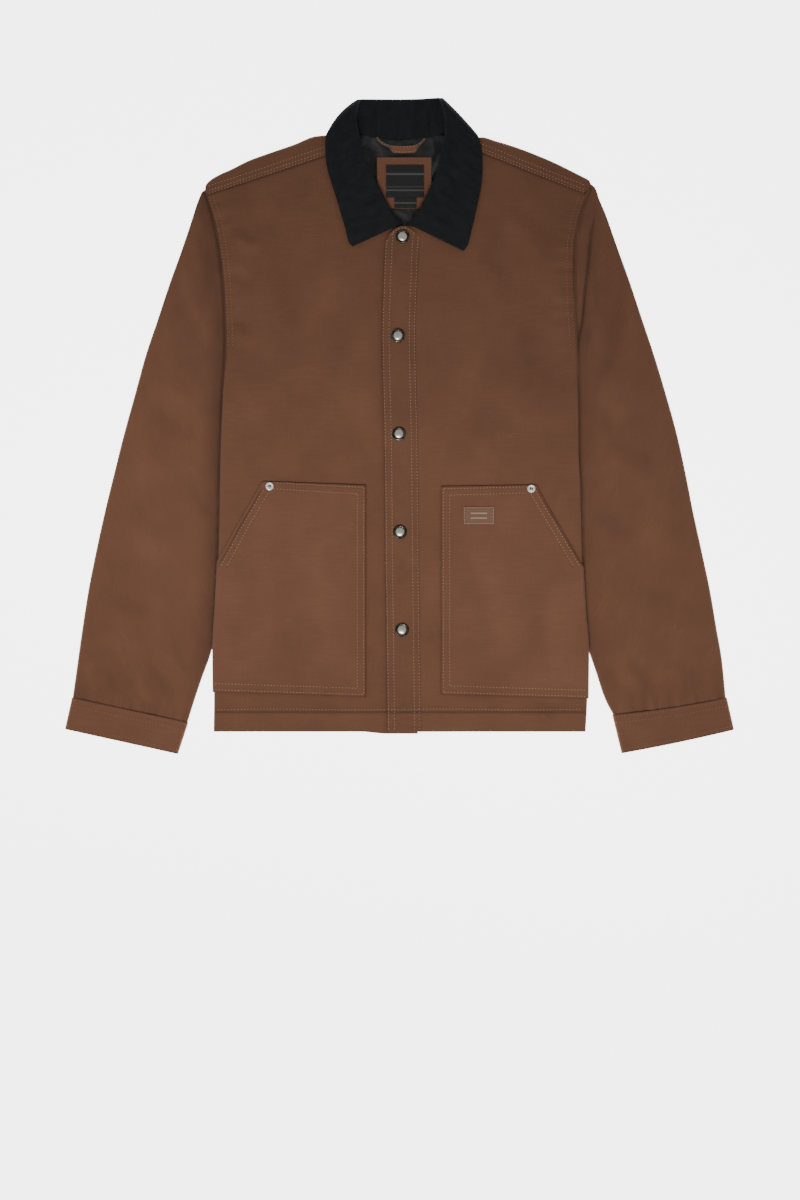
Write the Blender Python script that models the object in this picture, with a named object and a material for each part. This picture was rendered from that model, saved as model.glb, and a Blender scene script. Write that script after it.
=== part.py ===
"""A canvas barn jacket, buttoned up and lying flat on its back.

The frame is metres with +Z up. The origin is on the floor under the middle of the garment, +Y points
to the collar and +X to the wearer's left, so "left" and "right" are the wearer's. Tables and
sizes below are in millimetres, and MM turns them into metres when a mesh is made.

Each cloth piece is a wall of its own: it is worked out as an outer face and an inner face, one wall
apart, which are joined round their rims.
"""

import math
from collections import namedtuple

import bmesh
import bpy
from mathutils import Vector

MM = 0.001

# Cloth
WALL = 2.4  # canvas and its lining, for the body, sleeves and collar
LOFT = 1.6  # room between the front and the back
BODY_HEIGHT = 2 * WALL + LOFT
SEAM = 0.3  # between two pieces that are sewn together
TURN_RADIUS = (BODY_HEIGHT - SEAM) / 2  # of a panel, where it turns to its side seam
TURN = TURN_RADIUS * math.pi / 2
TURN_FADE = 20  # below the armpits
SHARP = 40  # degrees between faces, past which their edge shows
PATCH = 1.4  # pocket cloth
BAND = 1.2  # placket
TRIM = 1.0  # lining, facing and loop
LABEL = 0.8
PLACKET_GAP = 0.4

# The left front laps over the right front by this much, and comes down to the same height here
OVER_LIFT = WALL + SEAM
OVER_FROM, OVER_RAMP = 29, 54
OVER_FADE_FROM, OVER_FADE = 236, 74

# The sleeves are tucked under the sides of the body, which they hold up
TUCK_LIFT = BODY_HEIGHT + 0.4
TUCK_REACH, TUCK_RAMP = 36, 90
TUCK_TOP, TUCK_TOP_RAMP = 92, 80
TUCK_FOOT, TUCK_FOOT_RAMP = -333, 68

# The collar's fall is folded behind the neck and lifts it, and labels lie between front and back
FALL_LIFT = WALL + SEAM
NECK_PACK = 1.4
NECK_X = 2
SWELL_REACH, SWELL_SIDE_RAMP = 95, 70
SWELL_FOOT, SWELL_RAMP = 105, 100

ARMPIT = 90
HEM, HEM_TOP = -359, -333
HEM_LIFT = 0.5
HEM_DROP = 2.3  # the under front shows below the hem by this much
HEM_DROP_FROM, HEM_DROP_RAMP = -45, 30

# The sides of the body below the armpit, and the armholes above it
SideEdge = namedtuple("SideEdge", "y right left")
SIDE_EDGES = [
    SideEdge(-361, -217.2, 218.6),
    SideEdge(-316, -216.7, 220.7),
    SideEdge(-262, -216.7, 220.7),
    SideEdge(-212, -214.0, 216.9),
    SideEdge(-165, -211.5, 214.4),
    SideEdge(-118, -210.1, 213.2),
    SideEdge(-70, -209.3, 212.0),
    SideEdge(-30, -208.5, 210.1),
    SideEdge(8, -207.0, 209.8),
    SideEdge(50, -205.0, 209.2),
    SideEdge(ARMPIT, -202.3, 208.5),
    SideEdge(130, -203.3, 205.3),
    SideEdge(160, -204.8, 204.4),
    SideEdge(193, -207.8, 204.0),
    SideEdge(225, -212.9, 205.6),
    SideEdge(247, -217.9, 211.8),
    SideEdge(261, -223.0, 216.5),
    SideEdge(269, -225.2, 218.6),
    SideEdge(277, -228.2, 222.5),
    SideEdge(284, -229.0, 225.9),
]
SHOULDER_TIP = {"right": (-228.2, 276.7), "left": (225.9, 284)}

# The top of the back, from shoulder tip to shoulder tip: folds, and the neck seam between them
TopPoint = namedtuple("TopPoint", "x y")
BACK_TOP = [
    TopPoint(-228.2, 276.7),
    TopPoint(-225.8, 282.0),
    TopPoint(-221.1, 286.6),
    TopPoint(-214.1, 291.3),
    TopPoint(-194.2, 300.7),
    TopPoint(-175.5, 310.0),
    TopPoint(-149.8, 319.4),
    TopPoint(-121.7, 328.8),
    TopPoint(-97.1, 338.1),
    TopPoint(-82.0, 339.6),
    TopPoint(-69.0, 342.8),
    TopPoint(-57.3, 348.1),
    TopPoint(-52.6, 341.2),
    TopPoint(-45.6, 337.8),
    TopPoint(-22.2, 334.6),
    TopPoint(2.3, 333.3),
    TopPoint(28.1, 334.9),
    TopPoint(51.5, 337.5),
    TopPoint(57.3, 341.2),
    TopPoint(61.4, 348.1),
    TopPoint(73.7, 341.6),
    TopPoint(89.0, 336.6),
    TopPoint(97.1, 337.1),
    TopPoint(111.1, 333.4),
    TopPoint(141.6, 324.1),
    TopPoint(166.1, 314.7),
    TopPoint(187.2, 305.4),
    TopPoint(205.9, 296.0),
    TopPoint(215.3, 291.3),
    TopPoint(223.5, 286.6),
    TopPoint(225.9, 284.0),
]
NECK_POINT = {"right": -57.3, "left": 61.4}
BACK_ROWS = (HEM, HEM_TOP, -316, -298, -281, -262, -165, -70, 8, 30, 50, 70, ARMPIT)
BACK_RISE = (0.16, 0.32, 0.48, 0.62, 0.74, 0.88, 0.94, 1)  # from the armpit row to the top
BACK_COLUMNS = [-221, -208, -186, -165, -143, -122, -97.1, -82, -69, -57.3, -52.6, -45.6, -22.2]
BACK_COLUMNS += [2.3, 28.1, 51.5, 57.3, 61.4, 73.7, 89, 97.1, 111.1, 141.6, 166.1, 187.2, 205.9, 217]
FOLD_TURNS = (-45, 0, 45, 90)  # degrees, round the fold of a shoulder
FLAP_SHARES = (0.5, 1)  # and on to the forward seam

# The forward shoulder seam, from the armhole to the neck
SHOULDER_SEAM = {
    "right": ((-225.2, 269.1), (-55.6, 323.9)),
    "left": ((218.6, 270.5), (60.3, 331.7)),
}

# Each row of a front runs from its side or armhole to its free edge or neckline
FrontRow = namedtuple("FrontRow", "outer_y inner_x inner_y")
LOWER_ROWS = (HEM, -333, -332.3, -316, -298, -281, -262, -212, -165, -118, -70, -30, 8, 30, 50, 70)
FREE_EDGE = {
    "right": [(-361, 22), (250, 22)],
    "left": [(-361, -14), (-158, -16.5), (-29, -17.7), (111, -20.4), (146, -19.4), (211, -17)],
}
UPPER_ROWS = {
    "right": [
        FrontRow(ARMPIT, 22, 88),
        FrontRow(107, 22, 108),
        FrontRow(124, 22, 128),
        FrontRow(139, 22, 148),
        FrontRow(153, 22, 168),
        FrontRow(166, 22, 186),
        FrontRow(177, 22, 204),
        FrontRow(186, 22, 218),
        FrontRow(194, 14, 227),
        FrontRow(201, 4.7, 231.6),
        FrontRow(207, -2.8, 230.9),
        FrontRow(213, -11, 237.2),
        FrontRow(220, -18.1, 245.7),
        FrontRow(229, -26.9, 260.4),
        FrontRow(236, -32.8, 272.3),
        FrontRow(245, -39.8, 287.8),
        FrontRow(251, -45, 298.3),
        FrontRow(257, -49.4, 307.7),
        FrontRow(263, -53.2, 316.5),
    ],
    "left": [
        FrontRow(ARMPIT, -20.2, 90),
        FrontRow(107, -20.3, 110),
        FrontRow(124, -20.2, 129),
        FrontRow(139, -19.4, 148),
        FrontRow(153, -18.6, 166),
        FrontRow(166, -18.0, 184),
        FrontRow(177, -17.4, 200),
        FrontRow(187, -16.0, 213),
        FrontRow(195, -12.3, 221.1),
        FrontRow(202, -3.5, 228.7),
        FrontRow(208, 5.8, 232.3),
        FrontRow(213, 12.3, 231.4),
        FrontRow(219, 19.6, 230.9),
        FrontRow(226, 26.9, 241.0),
        FrontRow(233, 34.5, 252.3),
        FrontRow(241, 44.5, 273.4),
        FrontRow(249, 49.7, 288.1),
        FrontRow(255, 53.1, 298.1),
        FrontRow(262, 57.0, 312.5),
    ],
}
ROUND_STEPS = (0, 1 / 3, 2 / 3, 1)  # round the side, as shares of its quarter turn
SIDE_STEPS = (20, 36, 54, 72, 90, 108, 126)  # then in from the side
INNER_COLUMNS = {"right": (-65, -38.6, -8), "left": (67, 49, 29)}  # and then at these places
UPPER_SHARES = (0.25, 0.5, 0.75)  # or, past FAN_FROM, at these shares of the rest
FAN_FROM = 210

# The pockets: how far their edge is in from the side of the body, at each row
PocketRow = namedtuple("PocketRow", "y right left")
POCKET_ROWS = [
    PocketRow(-316, 0, 0),
    PocketRow(-298, 0, 0),
    PocketRow(-281, 0, 0),
    PocketRow(-262, 0, 0),
    PocketRow(-212, 0, 0),
    PocketRow(-166, 0, 0),
    PocketRow(-163.6, 1.7, 1.7),
    PocketRow(-161.2, 3.4, 3.4),
    PocketRow(-158.8, 5.2, 5.2),
    PocketRow(-118, 25.5, 28.5),
    PocketRow(-94, 39, 41),
    PocketRow(-70, 54, 55),
]
POCKET_INNER_COLUMNS = 2

# The sleeves: each ring lies flat from its outer end to its inner end. A crest or hollow is
# raised in the upper layer by relief, and bow curves the ring toward the cuff.
Ring = namedtuple("Ring", "outer_x outer_y inner_x inner_y relief bow")
SLEEVE_RINGS = {
    "right": [
        Ring(-231.1, 273.2, -203.4, 78.4, -0.9, 0),
        Ring(-235.8, 262.1, -204.6, 59.7, -0.3, 0),
        Ring(-244.5, 235.2, -206.2, 38.6, 0, 0),
        Ring(-255.6, 202.4, -207.5, 15.2, 0, 0),
        Ring(-269.1, 165.0, -201.2, -12.9, 0, 0),
        Ring(-283.1, 122.8, -188.4, -45.6, 0, 0),
        Ring(-297.2, 80.7, -181.3, -81.9, 0, 0),
        Ring(-310.0, 33.9, -180.2, -120.5, 0, 0),
        Ring(-322.3, -10.5, -186.0, -160.3, 0, 0),
        Ring(-334.0, -57.3, -198.9, -204.8, 0, 0),
        Ring(-345.1, -103.0, -214.1, -246.9, 0, 0),
        Ring(-355.1, -148.6, -222.9, -274.9, 0, 0),
        Ring(-363.9, -193.0, -229.9, -293.7, 0, 0),
        Ring(-370.9, -237.5, -236.3, -312.4, 0, 0),
        Ring(-376.2, -274.9, -241.6, -328.8, 0, 0),
        Ring(-382.2, -318.0, -247.4, -347.4, 0, 0),
    ],
    "left": [
        Ring(229.9, 278.5, 209.9, 74.9, 1.4, 0),
        Ring(231.9, 273.8, 210.4, 69.0, -1.2, 0),
        Ring(234.0, 266.8, 210.6, 57.3, -0.3, 0),
        Ring(242.8, 245.7, 210.6, 37.4, 0, 0),
        Ring(255.1, 210.6, 210.7, 14.0, 0, 0),
        Ring(270.3, 168.5, 203.6, -12.9, 0, 0),
        Ring(285.5, 122.8, 190.7, -45.6, 0, 0),
        Ring(299.5, 80.7, 183.7, -81.9, 0, 0),
        Ring(313.6, 33.9, 182.5, -120.5, 0, 0),
        Ring(325.8, -10.5, 188.4, -160.3, 0, 0),
        Ring(336.1, -57.3, 201.2, -204.8, 0, 0),
        Ring(345.1, -103.0, 217.0, -249.2, 0, 0),
        Ring(355.1, -148.6, 225.8, -274.9, 0, 0),
        Ring(364.5, -193.0, 232.2, -293.7, 0, 0),
        Ring(372.1, -237.5, 238.1, -312.4, 0, 0),
        Ring(378.5, -274.9, 243.4, -325.3, 0, 1),
        Ring(382.8, -318.2, 250.4, -338.2, 0, 2),
    ],
}
CUFF_HEIGHT = BODY_HEIGHT + 1
CUFF_RINGS = {
    "right": [
        Ring(-383.1, -318.6, -246.6, -348.0, 0, 0),
        Ring(-384.6, -325.3, -248.7, -354.6, 0, 0),
        Ring(-391.4, -356.0, -258.7, -385.3, 0, 0),
    ],
    "left": [
        Ring(384.0, -318.8, 249.6, -338.9, 0, 2),
        Ring(385.6, -325.4, 251.5, -346.6, 0, 2),
        Ring(392.7, -356.8, 260.7, -384.5, 0, 1),
    ],
}
ARMHOLE_RISE = (1, 0.94, 0.88, 0.74, 0.62, 0.48, 0.32, 0.16)  # a sleeve's first ring follows it
ARMHOLE_GAP = 0.4
FLAT_STEPS = 8  # across a sleeve
END_TURNS = (45, 0, -45)  # degrees, round a fold between its two flat layers

# The collar, station by station from the middle of the back to the end of the fall. tilt is 90 where
# the fall lies on the stand, -90 where it is folded behind it, and bow pushes it outward.
Station = namedtuple("Station", "tilt seam_x seam_y roll_x roll_y edge_x edge_y bow")
COLLAR_MIDDLE = Station(-90, 2.3, 334.4, 2.3, 381.8, 2.3, 321.8, 0)
COLLAR_STATIONS = {
    "right": [
        Station(-90, -22.2, 335.7, -21.1, 381.9, -28.1, 322.3, 0),
        Station(-90, -33.9, 337.4, -33.9, 382.0, -53.8, 325.3, 0),
        Station(-90, -42.1, 339.4, -40.9, 382.0, -67.9, 330.5, 0),
        Station(-78, -49.0, 343.6, -43.9, 381.7, -78.6, 339.0, 3),
        Station(-40, -52.3, 346.0, -45.3, 381.1, -80.9, 341.4, 4),
        Station(0, -53.4, 346.9, -46.4, 379.9, -82.1, 341.9, 4),
        Station(35, -53.6, 341.6, -47.3, 377.3, -83.1, 340.9, 4),
        Station(70, -53.4, 334.6, -48.4, 372.1, -84.5, 338.1, 3),
        Station(90, -52.9, 328.8, -49.7, 365.0, -85.6, 335.1, 2),
        Station(90, -52.7, 325.3, -50.0, 358.0, -86.1, 327.6, 0),
        Station(90, -52.2, 321.0, -48.4, 349.8, -85.6, 317.7, 0),
        Station(90, -50.9, 314.4, -46.4, 339.5, -85.3, 308.9, 0),
        Station(90, -48.6, 307.9, -44.1, 326.4, -83.9, 300.1, 0),
        Station(90, -44.2, 298.6, -39.8, 311.8, -81.3, 290.2, 0),
        Station(90, -39.0, 288.2, -32.3, 299.2, -77.7, 278.5, 0),
        Station(90, -32.0, 272.5, -24.8, 281.3, -72.0, 260.9, 0),
        Station(90, -26.1, 260.9, -18.7, 269.1, -67.3, 244.5, 0),
        Station(90, -17.3, 246.3, -10.5, 253.3, -62.8, 229.3, 0),
        Station(90, -10.3, 238.1, -3.5, 242.8, -58.4, 212.6, 0),
        Station(90, -2.3, 232.2, 3.5, 234.8, -53.9, 208.6, 0),
    ],
    "left": [
        Station(-90, 26.9, 335.7, 25.7, 382.4, 32.8, 322.3, 0),
        Station(-90, 38.6, 337.1, 37.4, 383.2, 58.5, 325.3, 0),
        Station(-90, 46.8, 339.1, 44.5, 383.5, 73.7, 330.3, 0),
        Station(-78, 54.0, 343.3, 47.0, 383.3, 85.2, 337.0, 1),
        Station(-40, 57.0, 345.9, 47.7, 382.8, 88.1, 339.2, 1),
        Station(0, 57.9, 346.9, 48.2, 381.9, 89.8, 340.0, 1),
        Station(35, 58.0, 341.6, 49.1, 379.1, 90.9, 338.6, 1),
        Station(70, 57.8, 334.6, 50.9, 373.2, 92.7, 335.2, 1),
        Station(90, 57.4, 328.8, 53.0, 365.6, 94.2, 332.3, 0),
        Station(90, 57.2, 325.3, 53.6, 358.0, 95.7, 325.8, 0),
        Station(90, 56.7, 321.0, 53.6, 347.5, 96.9, 317.1, 0),
        Station(90, 55.6, 314.1, 52.8, 336.5, 97.3, 307.1, 0),
        Station(90, 54.2, 307.1, 51.2, 327.0, 97.3, 297.2, 0),
        Station(90, 51.6, 298.1, 48.3, 314.1, 96.9, 286.6, 0),
        Station(90, 48.4, 288.3, 45.4, 302.2, 95.1, 273.8, 0),
        Station(90, 43.3, 273.7, 39.4, 284.3, 91.8, 257.4, 0),
        Station(90, 38.2, 260.9, 34.9, 274.4, 88.3, 242.2, 0),
        Station(90, 33.4, 252.7, 28.1, 260.3, 84.6, 226.4, 0),
        Station(90, 25.8, 241.8, 21.4, 248.4, 80.1, 209.4, 0),
        Station(90, 18.6, 232.8, 12.3, 233.2, 75.2, 203.2, 0),
    ],
}
COLLAR_TURNS = 4  # steps round the roll
FALL_SHARES = (0.25, 0.5, 0.75, 1)
ROLL_RADIUS = 1.85  # of the middle of the wall, where the collar goes round the shoulder
FALL_CLEAR = 1  # over the front
STAND_BACK, STAND_FRONT = 5.2, 9.3  # height of the middle of the wall, as below
FALL_BACK, FALL_FRONT = 1.2, 12.7

# Inside the neck
LINING_ROWS = [  # y, right, left
    (332.3, -43.9, 50.9),
    (324, -46.8, 52.6),
    (310, -48, 55),
    (292, -43, 50),
    (275, -36, 43),
    (257, -27, 36),
    (237, -17, 29),
    (213, -10, 22),
]
FACING_BOX = ((-25.7, 253.3), (38, 313.2))
LABEL_BOX = ((-15.2, 266.1), (29.2, 304.2))
TAB_BOX = ((-5.3, 253.9), (20.5, 265.6))
LOOP_LINE = [
    (-24, 330.4),
    (-20.5, 326.3),
    (-14, 321.9),
    (-5, 319.3),
    (4.7, 318.6),
    (14, 320.2),
    (22.2, 324.6),
    (28.5, 329.2),
]
LOOP_WIDTH, LOOP_END_WIDTH = 8.5, 5

# On the fronts
PLACKET_WIDTH = 40
PLACKET_SHARES = (0, 0.25, 0.5, 0.75, 1)
PLACKET_ROWS = (90, 110, 129, 148, 166, 184, 200)  # above those it shares with the front
PLACKET_TOP = [(-14.6, 215), (-5.8, 225.3), (4.7, 230), (14, 228.2), (22.5, 223.6)]
POCKET_LABEL_BOX = ((76, -116), (111, -96))
SNAPS = [(4.1, 219.5), (-1.2, 104.1), (0, -10.5), (1.2, -125.2), (3.5, -239.8)]
SNAP_PROFILE = [(8, 0), (8, 1.1), (7.3, 1.9), (6.3, 1.9), (5.6, 1.3), (4.2, 2.3), (2.2, 2.8)]
RIVETS = {"right": (-150.3, -74.5), "left": (153.5, -75.5)}
RIVET_PROFILE = [(4.7, 0), (4.5, 0.9), (3.4, 1.3), (2.4, 0.6), (1.3, 0.8)]
SNAP_SIDES, RIVET_SIDES = 16, 12

# Each piece's colour, roughness and metallic value
Finish = namedtuple("Finish", "colour roughness metallic")
CANVAS = Finish((0.150, 0.067, 0.037), 0.9, 0)
NAP = Finish((0.011, 0.011, 0.012), 0.95, 0)
LINING_CLOTH = Finish((0.025, 0.025, 0.025), 0.6, 0)
BLACK_WEAVE = Finish((0.020, 0.020, 0.020), 0.8, 0)
ANTIQUE_METAL = Finish((0.33, 0.31, 0.28), 0.4, 1)
BRIGHT_METAL = Finish((0.62, 0.60, 0.56), 0.3, 1)


def ease(share):
    """0 to 1 with no corner at either end."""
    share = min(1, max(0, share))
    return share * share * (3 - 2 * share)


def mix(low, high, share):
    return low + (high - low) * share


def read(points, at):
    """The value at a place between the (place, value) points."""
    for (low, a), (high, b) in zip(points, points[1:]):
        if at <= high:
            return mix(a, b, max(0, (at - low) / (high - low)))
    return points[-1][1]


def side_x(side, y):
    """Where the side or armhole of the body is at this height up the garment."""
    return read([(row.y, getattr(row, side)) for row in SIDE_EDGES], y)


def tuck(x, y):
    """How far the sleeve under the body's side lifts it."""
    side = "left" if x > 0 else "right"
    inward = abs(side_x(side, y)) - abs(x)
    across = 1 - ease((inward - TUCK_REACH) / TUCK_RAMP)
    along = ease((TUCK_TOP - y) / TUCK_TOP_RAMP) * ease((y - TUCK_FOOT) / TUCK_FOOT_RAMP)
    return TUCK_LIFT * across * along


def swell(x, y):
    """1 round the neck, where the collar lies under the back, down to 0 away from it."""
    across = 1 - ease((abs(x - NECK_X) - SWELL_REACH) / SWELL_SIDE_RAMP)
    return across * ease((y - SWELL_FOOT) / SWELL_RAMP)


def underside(x, y):
    return tuck(x, y) + FALL_LIFT * swell(x, y)


def topside(x, y):
    return tuck(x, y) + BODY_HEIGHT + (FALL_LIFT + NECK_PACK) * swell(x, y)


def overlap(x, y):
    """How far the left front stands above the right one."""
    across = 1 - ease((x - OVER_FROM) / OVER_RAMP)
    return OVER_LIFT * across * (1 - ease((y - OVER_FADE_FROM) / OVER_FADE))


def front_top(side, x, y):
    return topside(x, y) + (overlap(x, y) if side == "left" else 0)


def paint(piece, finish):
    """The piece's own material."""
    made = bpy.data.materials.new(piece.name)
    made.use_nodes = True
    shader = made.node_tree.nodes["Principled BSDF"]
    shader.inputs["Base Color"].default_value = (*finish.colour, 1)
    shader.inputs["Roughness"].default_value = finish.roughness
    shader.inputs["Metallic"].default_value = finish.metallic
    piece.data.materials.append(made)


def add(name, finish, points, faces):
    """A named object from points in millimetres."""
    mesh = bpy.data.meshes.new(name)
    mesh.from_pydata([Vector(point) * MM for point in points], [], faces)
    shape = bmesh.new()
    shape.from_mesh(mesh)
    bmesh.ops.recalc_face_normals(shape, faces=shape.faces)
    shape.to_mesh(mesh)
    shape.free()
    mesh.shade_smooth()
    mesh.set_sharp_from_angle(angle=math.radians(SHARP))
    piece = bpy.data.objects.new(name, mesh)
    bpy.context.collection.objects.link(piece)
    paint(piece, finish)
    return piece


def grid_faces(rows, columns, first=0):
    return [
        (at, at + 1, at + columns + 1, at + columns)
        for row in range(rows - 1)
        for at in range(first + row * columns, first + (row + 1) * columns - 1)
    ]


def wall(name, finish, outer, inner, faces):
    """A closed wall: the faces on the outer points, the same on the inner ones, and the rims."""
    count = len(outer)
    edges = [(face[i - 1], face[i]) for face in faces for i in range(len(face))]
    used = set(edges)
    rims = [(b, a, a + count, b + count) for a, b in edges if (b, a) not in used]
    backs = [tuple(corner + count for corner in reversed(face)) for face in faces]
    return add(name, finish, outer + inner, faces + backs + rims)


def panel(name, finish, face, thickness):
    """A wall over a grid of points, which face(out) gives at any distance off its outer face."""
    outer, inner = face(0), face(-thickness)
    faces = grid_faces(len(outer), len(outer[0]))
    return wall(name, finish, sum(outer, []), sum(inner, []), faces)


def slab(name, finish, rows, bottom, thickness):
    """A flat patch between two outlines, given as rows of points across it."""

    def face(out):
        return [[(x, y, bottom + thickness + out) for x, y in row] for row in rows]

    return panel(name, finish, face, thickness)


def box_rows(box):
    (left, low), (right, high) = box
    return [[(left, low), (right, low)], [(left, high), (right, high)]]


# The body


def panel_point(side, edge, way, along, out, face):
    """A point of a panel, this far along from its edge and this far off its outer face.

    face is 1 for a front, which faces up, and -1 for the back. Below the armpits a panel turns
    to meet the other one at the side seam, and above them its edge stays flat.
    """

    def height(x, y):
        return front_top(side, x, y) if face > 0 else underside(x, y)

    if along >= TURN:
        place = edge + way * (TURN_RADIUS + along - TURN)
        return (*place, height(*place) + face * out)
    angle = along / TURN_RADIUS
    reach = TURN_RADIUS + out
    level = edge + way * (along / TURN * TURN_RADIUS)
    turned = edge + way * (TURN_RADIUS - reach * math.cos(angle))
    flat_point = Vector((*level, height(*edge) + face * out))
    round_point = Vector((*turned, height(*edge) + face * (reach * math.sin(angle) - TURN_RADIUS)))
    return tuple(flat_point.lerp(round_point, ease((ARMPIT - edge.y) / TURN_FADE)))


def lower_row(side, y):
    return FrontRow(y, read(FREE_EDGE[side], y), y)


def front_rows(side):
    (outer_x, outer_y), (inner_x, inner_y) = SHOULDER_SEAM[side]
    gap = SEAM / 2
    last = FrontRow(outer_y - gap, inner_x - math.copysign(SEAM, outer_x) / 2, inner_y - gap)
    return [lower_row(side, y) for y in LOWER_ROWS] + UPPER_ROWS[side] + [last]


def front_alongs(side, row):
    """How far along its row each column of a front is."""
    edge = Vector((side_x(side, row.outer_y), row.outer_y))
    whole = (Vector((row.inner_x, row.inner_y)) - edge).length
    last = SIDE_STEPS[-1]
    shares = UPPER_SHARES
    if row.inner_y <= FAN_FROM:
        start = edge.x - math.copysign(last, edge.x)
        shares = [(x - start) / (row.inner_x - start) for x in INNER_COLUMNS[side]]
    steps = [*SIDE_STEPS, *(mix(last, whole, share) for share in shares), whole]
    return [TURN * share for share in ROUND_STEPS] + [
        step + TURN - TURN_RADIUS for step in steps
    ]


def front_line(side, row, alongs, out):
    """The points of a front's row."""
    edge = Vector((side_x(side, row.outer_y), row.outer_y))
    way = (Vector((row.inner_x, row.inner_y)) - edge).normalized()
    if row.outer_y <= HEM_TOP:
        out += HEM_LIFT
    return [panel_point(side, edge, way, along, out, 1) for along in alongs]


def front_face(side, out):
    rows = [
        front_line(side, row, front_alongs(side, row), out) for row in front_rows(side)
    ]
    if side == "right":
        rows[0] = [(x, y - HEM_DROP * ease((x - HEM_DROP_FROM) / HEM_DROP_RAMP), z) for x, y, z in rows[0]]
    return rows


def pocket_face(side, out):
    """The pocket's cloth is the front's own face, moved out."""
    face = []
    slanted = len(ROUND_STEPS) + len(SIDE_STEPS)
    for entry in POCKET_ROWS:
        row = lower_row(side, entry.y)
        edge_in = getattr(entry, side)
        alongs = front_alongs(side, row)[: slanted + POCKET_INNER_COLUMNS]
        squeeze = 1 - edge_in / alongs[slanted - 1]
        alongs[:slanted] = [edge_in + along * squeeze for along in alongs[:slanted]]
        face.append(front_line(side, row, alongs, SEAM + PATCH + out))
    return face


def placket_face(out):
    """The band down the left front's free edge. Its top follows the neckline."""

    def height(x, y):
        lift = HEM_LIFT if y <= HEM_TOP else 0
        return front_top("left", x, y) + lift + PLACKET_GAP + BAND + out

    rows = []
    for y in [*LOWER_ROWS, *PLACKET_ROWS]:
        edge = read(FREE_EDGE["left"], y)
        across = [edge + PLACKET_WIDTH * share for share in PLACKET_SHARES]
        rows.append([(x, y, height(x, y)) for x in across])
    rows.append([(x, y, height(x, y)) for x, y in PLACKET_TOP])
    return rows


def shoulder_radius(x, y):
    """Half the height of the garment where the back is folded over to the front."""
    return (topside(x, y) - underside(x, y)) / 2


def is_shoulder(x):
    return x <= NECK_POINT["right"] or x >= NECK_POINT["left"]


def back_row(y, rise, out):
    """A row of the back's lower layer, at y or else this share of the way up from the armpits."""
    insets = [TURN_RADIUS * share for share in ROUND_STEPS]
    tip_right, tip_left = SHOULDER_TIP["right"][0], SHOULDER_TIP["left"][0]
    tops = [tip_right + inset for inset in insets]
    tops += BACK_COLUMNS
    tops += [tip_left - inset for inset in reversed(insets)]
    row = []
    for number, top_x in enumerate(tops):
        top_y = read([(point.x, point.y) for point in BACK_TOP], top_x)
        top_y -= shoulder_radius(top_x, top_y) if is_shoulder(top_x) else 0
        place_y = mix(ARMPIT, top_y, rise) if rise else y
        right, left = side_x("right", place_y), side_x("left", place_y)
        from_right, from_left = number, len(tops) - 1 - number
        if min(from_right, from_left) < len(insets):
            side, edge, way = "right", right, 1
            if from_left < from_right:
                side, edge, way = "left", left, -1
            along = TURN * ROUND_STEPS[min(from_right, from_left)]
            row.append(
                panel_point(side, Vector((edge, place_y)), Vector((way, 0)), along, out, -1)
            )
        else:
            x = mix(right, left, (top_x - tip_right) / (tip_left - tip_right))
            row.append((x, place_y, underside(x, place_y) - out))
    return row


def shoulder_face(side, last_row, out):
    """From the end of the lower layer, over the fold and down to the forward seam."""
    (outer_x, outer_y), (inner_x, inner_y) = SHOULDER_SEAM[side]
    tip, neck = SHOULDER_TIP[side][0], NECK_POINT[side]
    rows = []
    for degrees in FOLD_TURNS:
        angle = math.radians(degrees)
        row = []
        for x, y, _ in last_row:
            reach = shoulder_radius(x, y) + out
            middle = (topside(x, y) + underside(x, y)) / 2
            row.append((x, y + reach * math.cos(angle), middle + reach * math.sin(angle)))
        rows.append(row)
    for share in FLAP_SHARES:
        row = []
        for x, y, _ in last_row:
            across = (x - tip) / (neck - tip)
            seam_x = mix(outer_x, inner_x, across)
            seam_y = mix(outer_y, inner_y, across) + SEAM / 2
            place = (mix(x, seam_x, share), mix(y, seam_y, share))
            row.append((*place, topside(*place) + out))
        rows.append(row)
    return rows


def back_skin(out):
    """All the points of one skin of the back, and its faces."""
    rows = [back_row(y, 0, out) for y in BACK_ROWS] + [back_row(0, rise, out) for rise in BACK_RISE]
    columns = len(rows[0])
    points = sum(rows, [])
    faces = grid_faces(len(rows), columns)
    last = (len(rows) - 1) * columns
    for side in ("right", "left"):
        own = [at for at in range(columns) if is_shoulder(rows[-1][at][0])]
        own = [at for at in own if (rows[-1][at][0] > 0) == (side == "left")]
        start = len(points)
        fold = shoulder_face(side, [rows[-1][at] for at in own], out)
        points += sum(fold, [])
        faces += [
            (last + own[k], last + own[k + 1], start + k + 1, start + k)
            for k in range(len(own) - 1)
        ]
        faces += grid_faces(len(fold), len(own), start)
    return points, faces


def make_back():
    outer, faces = back_skin(0)
    inner, _ = back_skin(-WALL)
    wall("back", CANVAS, outer, inner, faces)


# The sleeves


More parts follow.
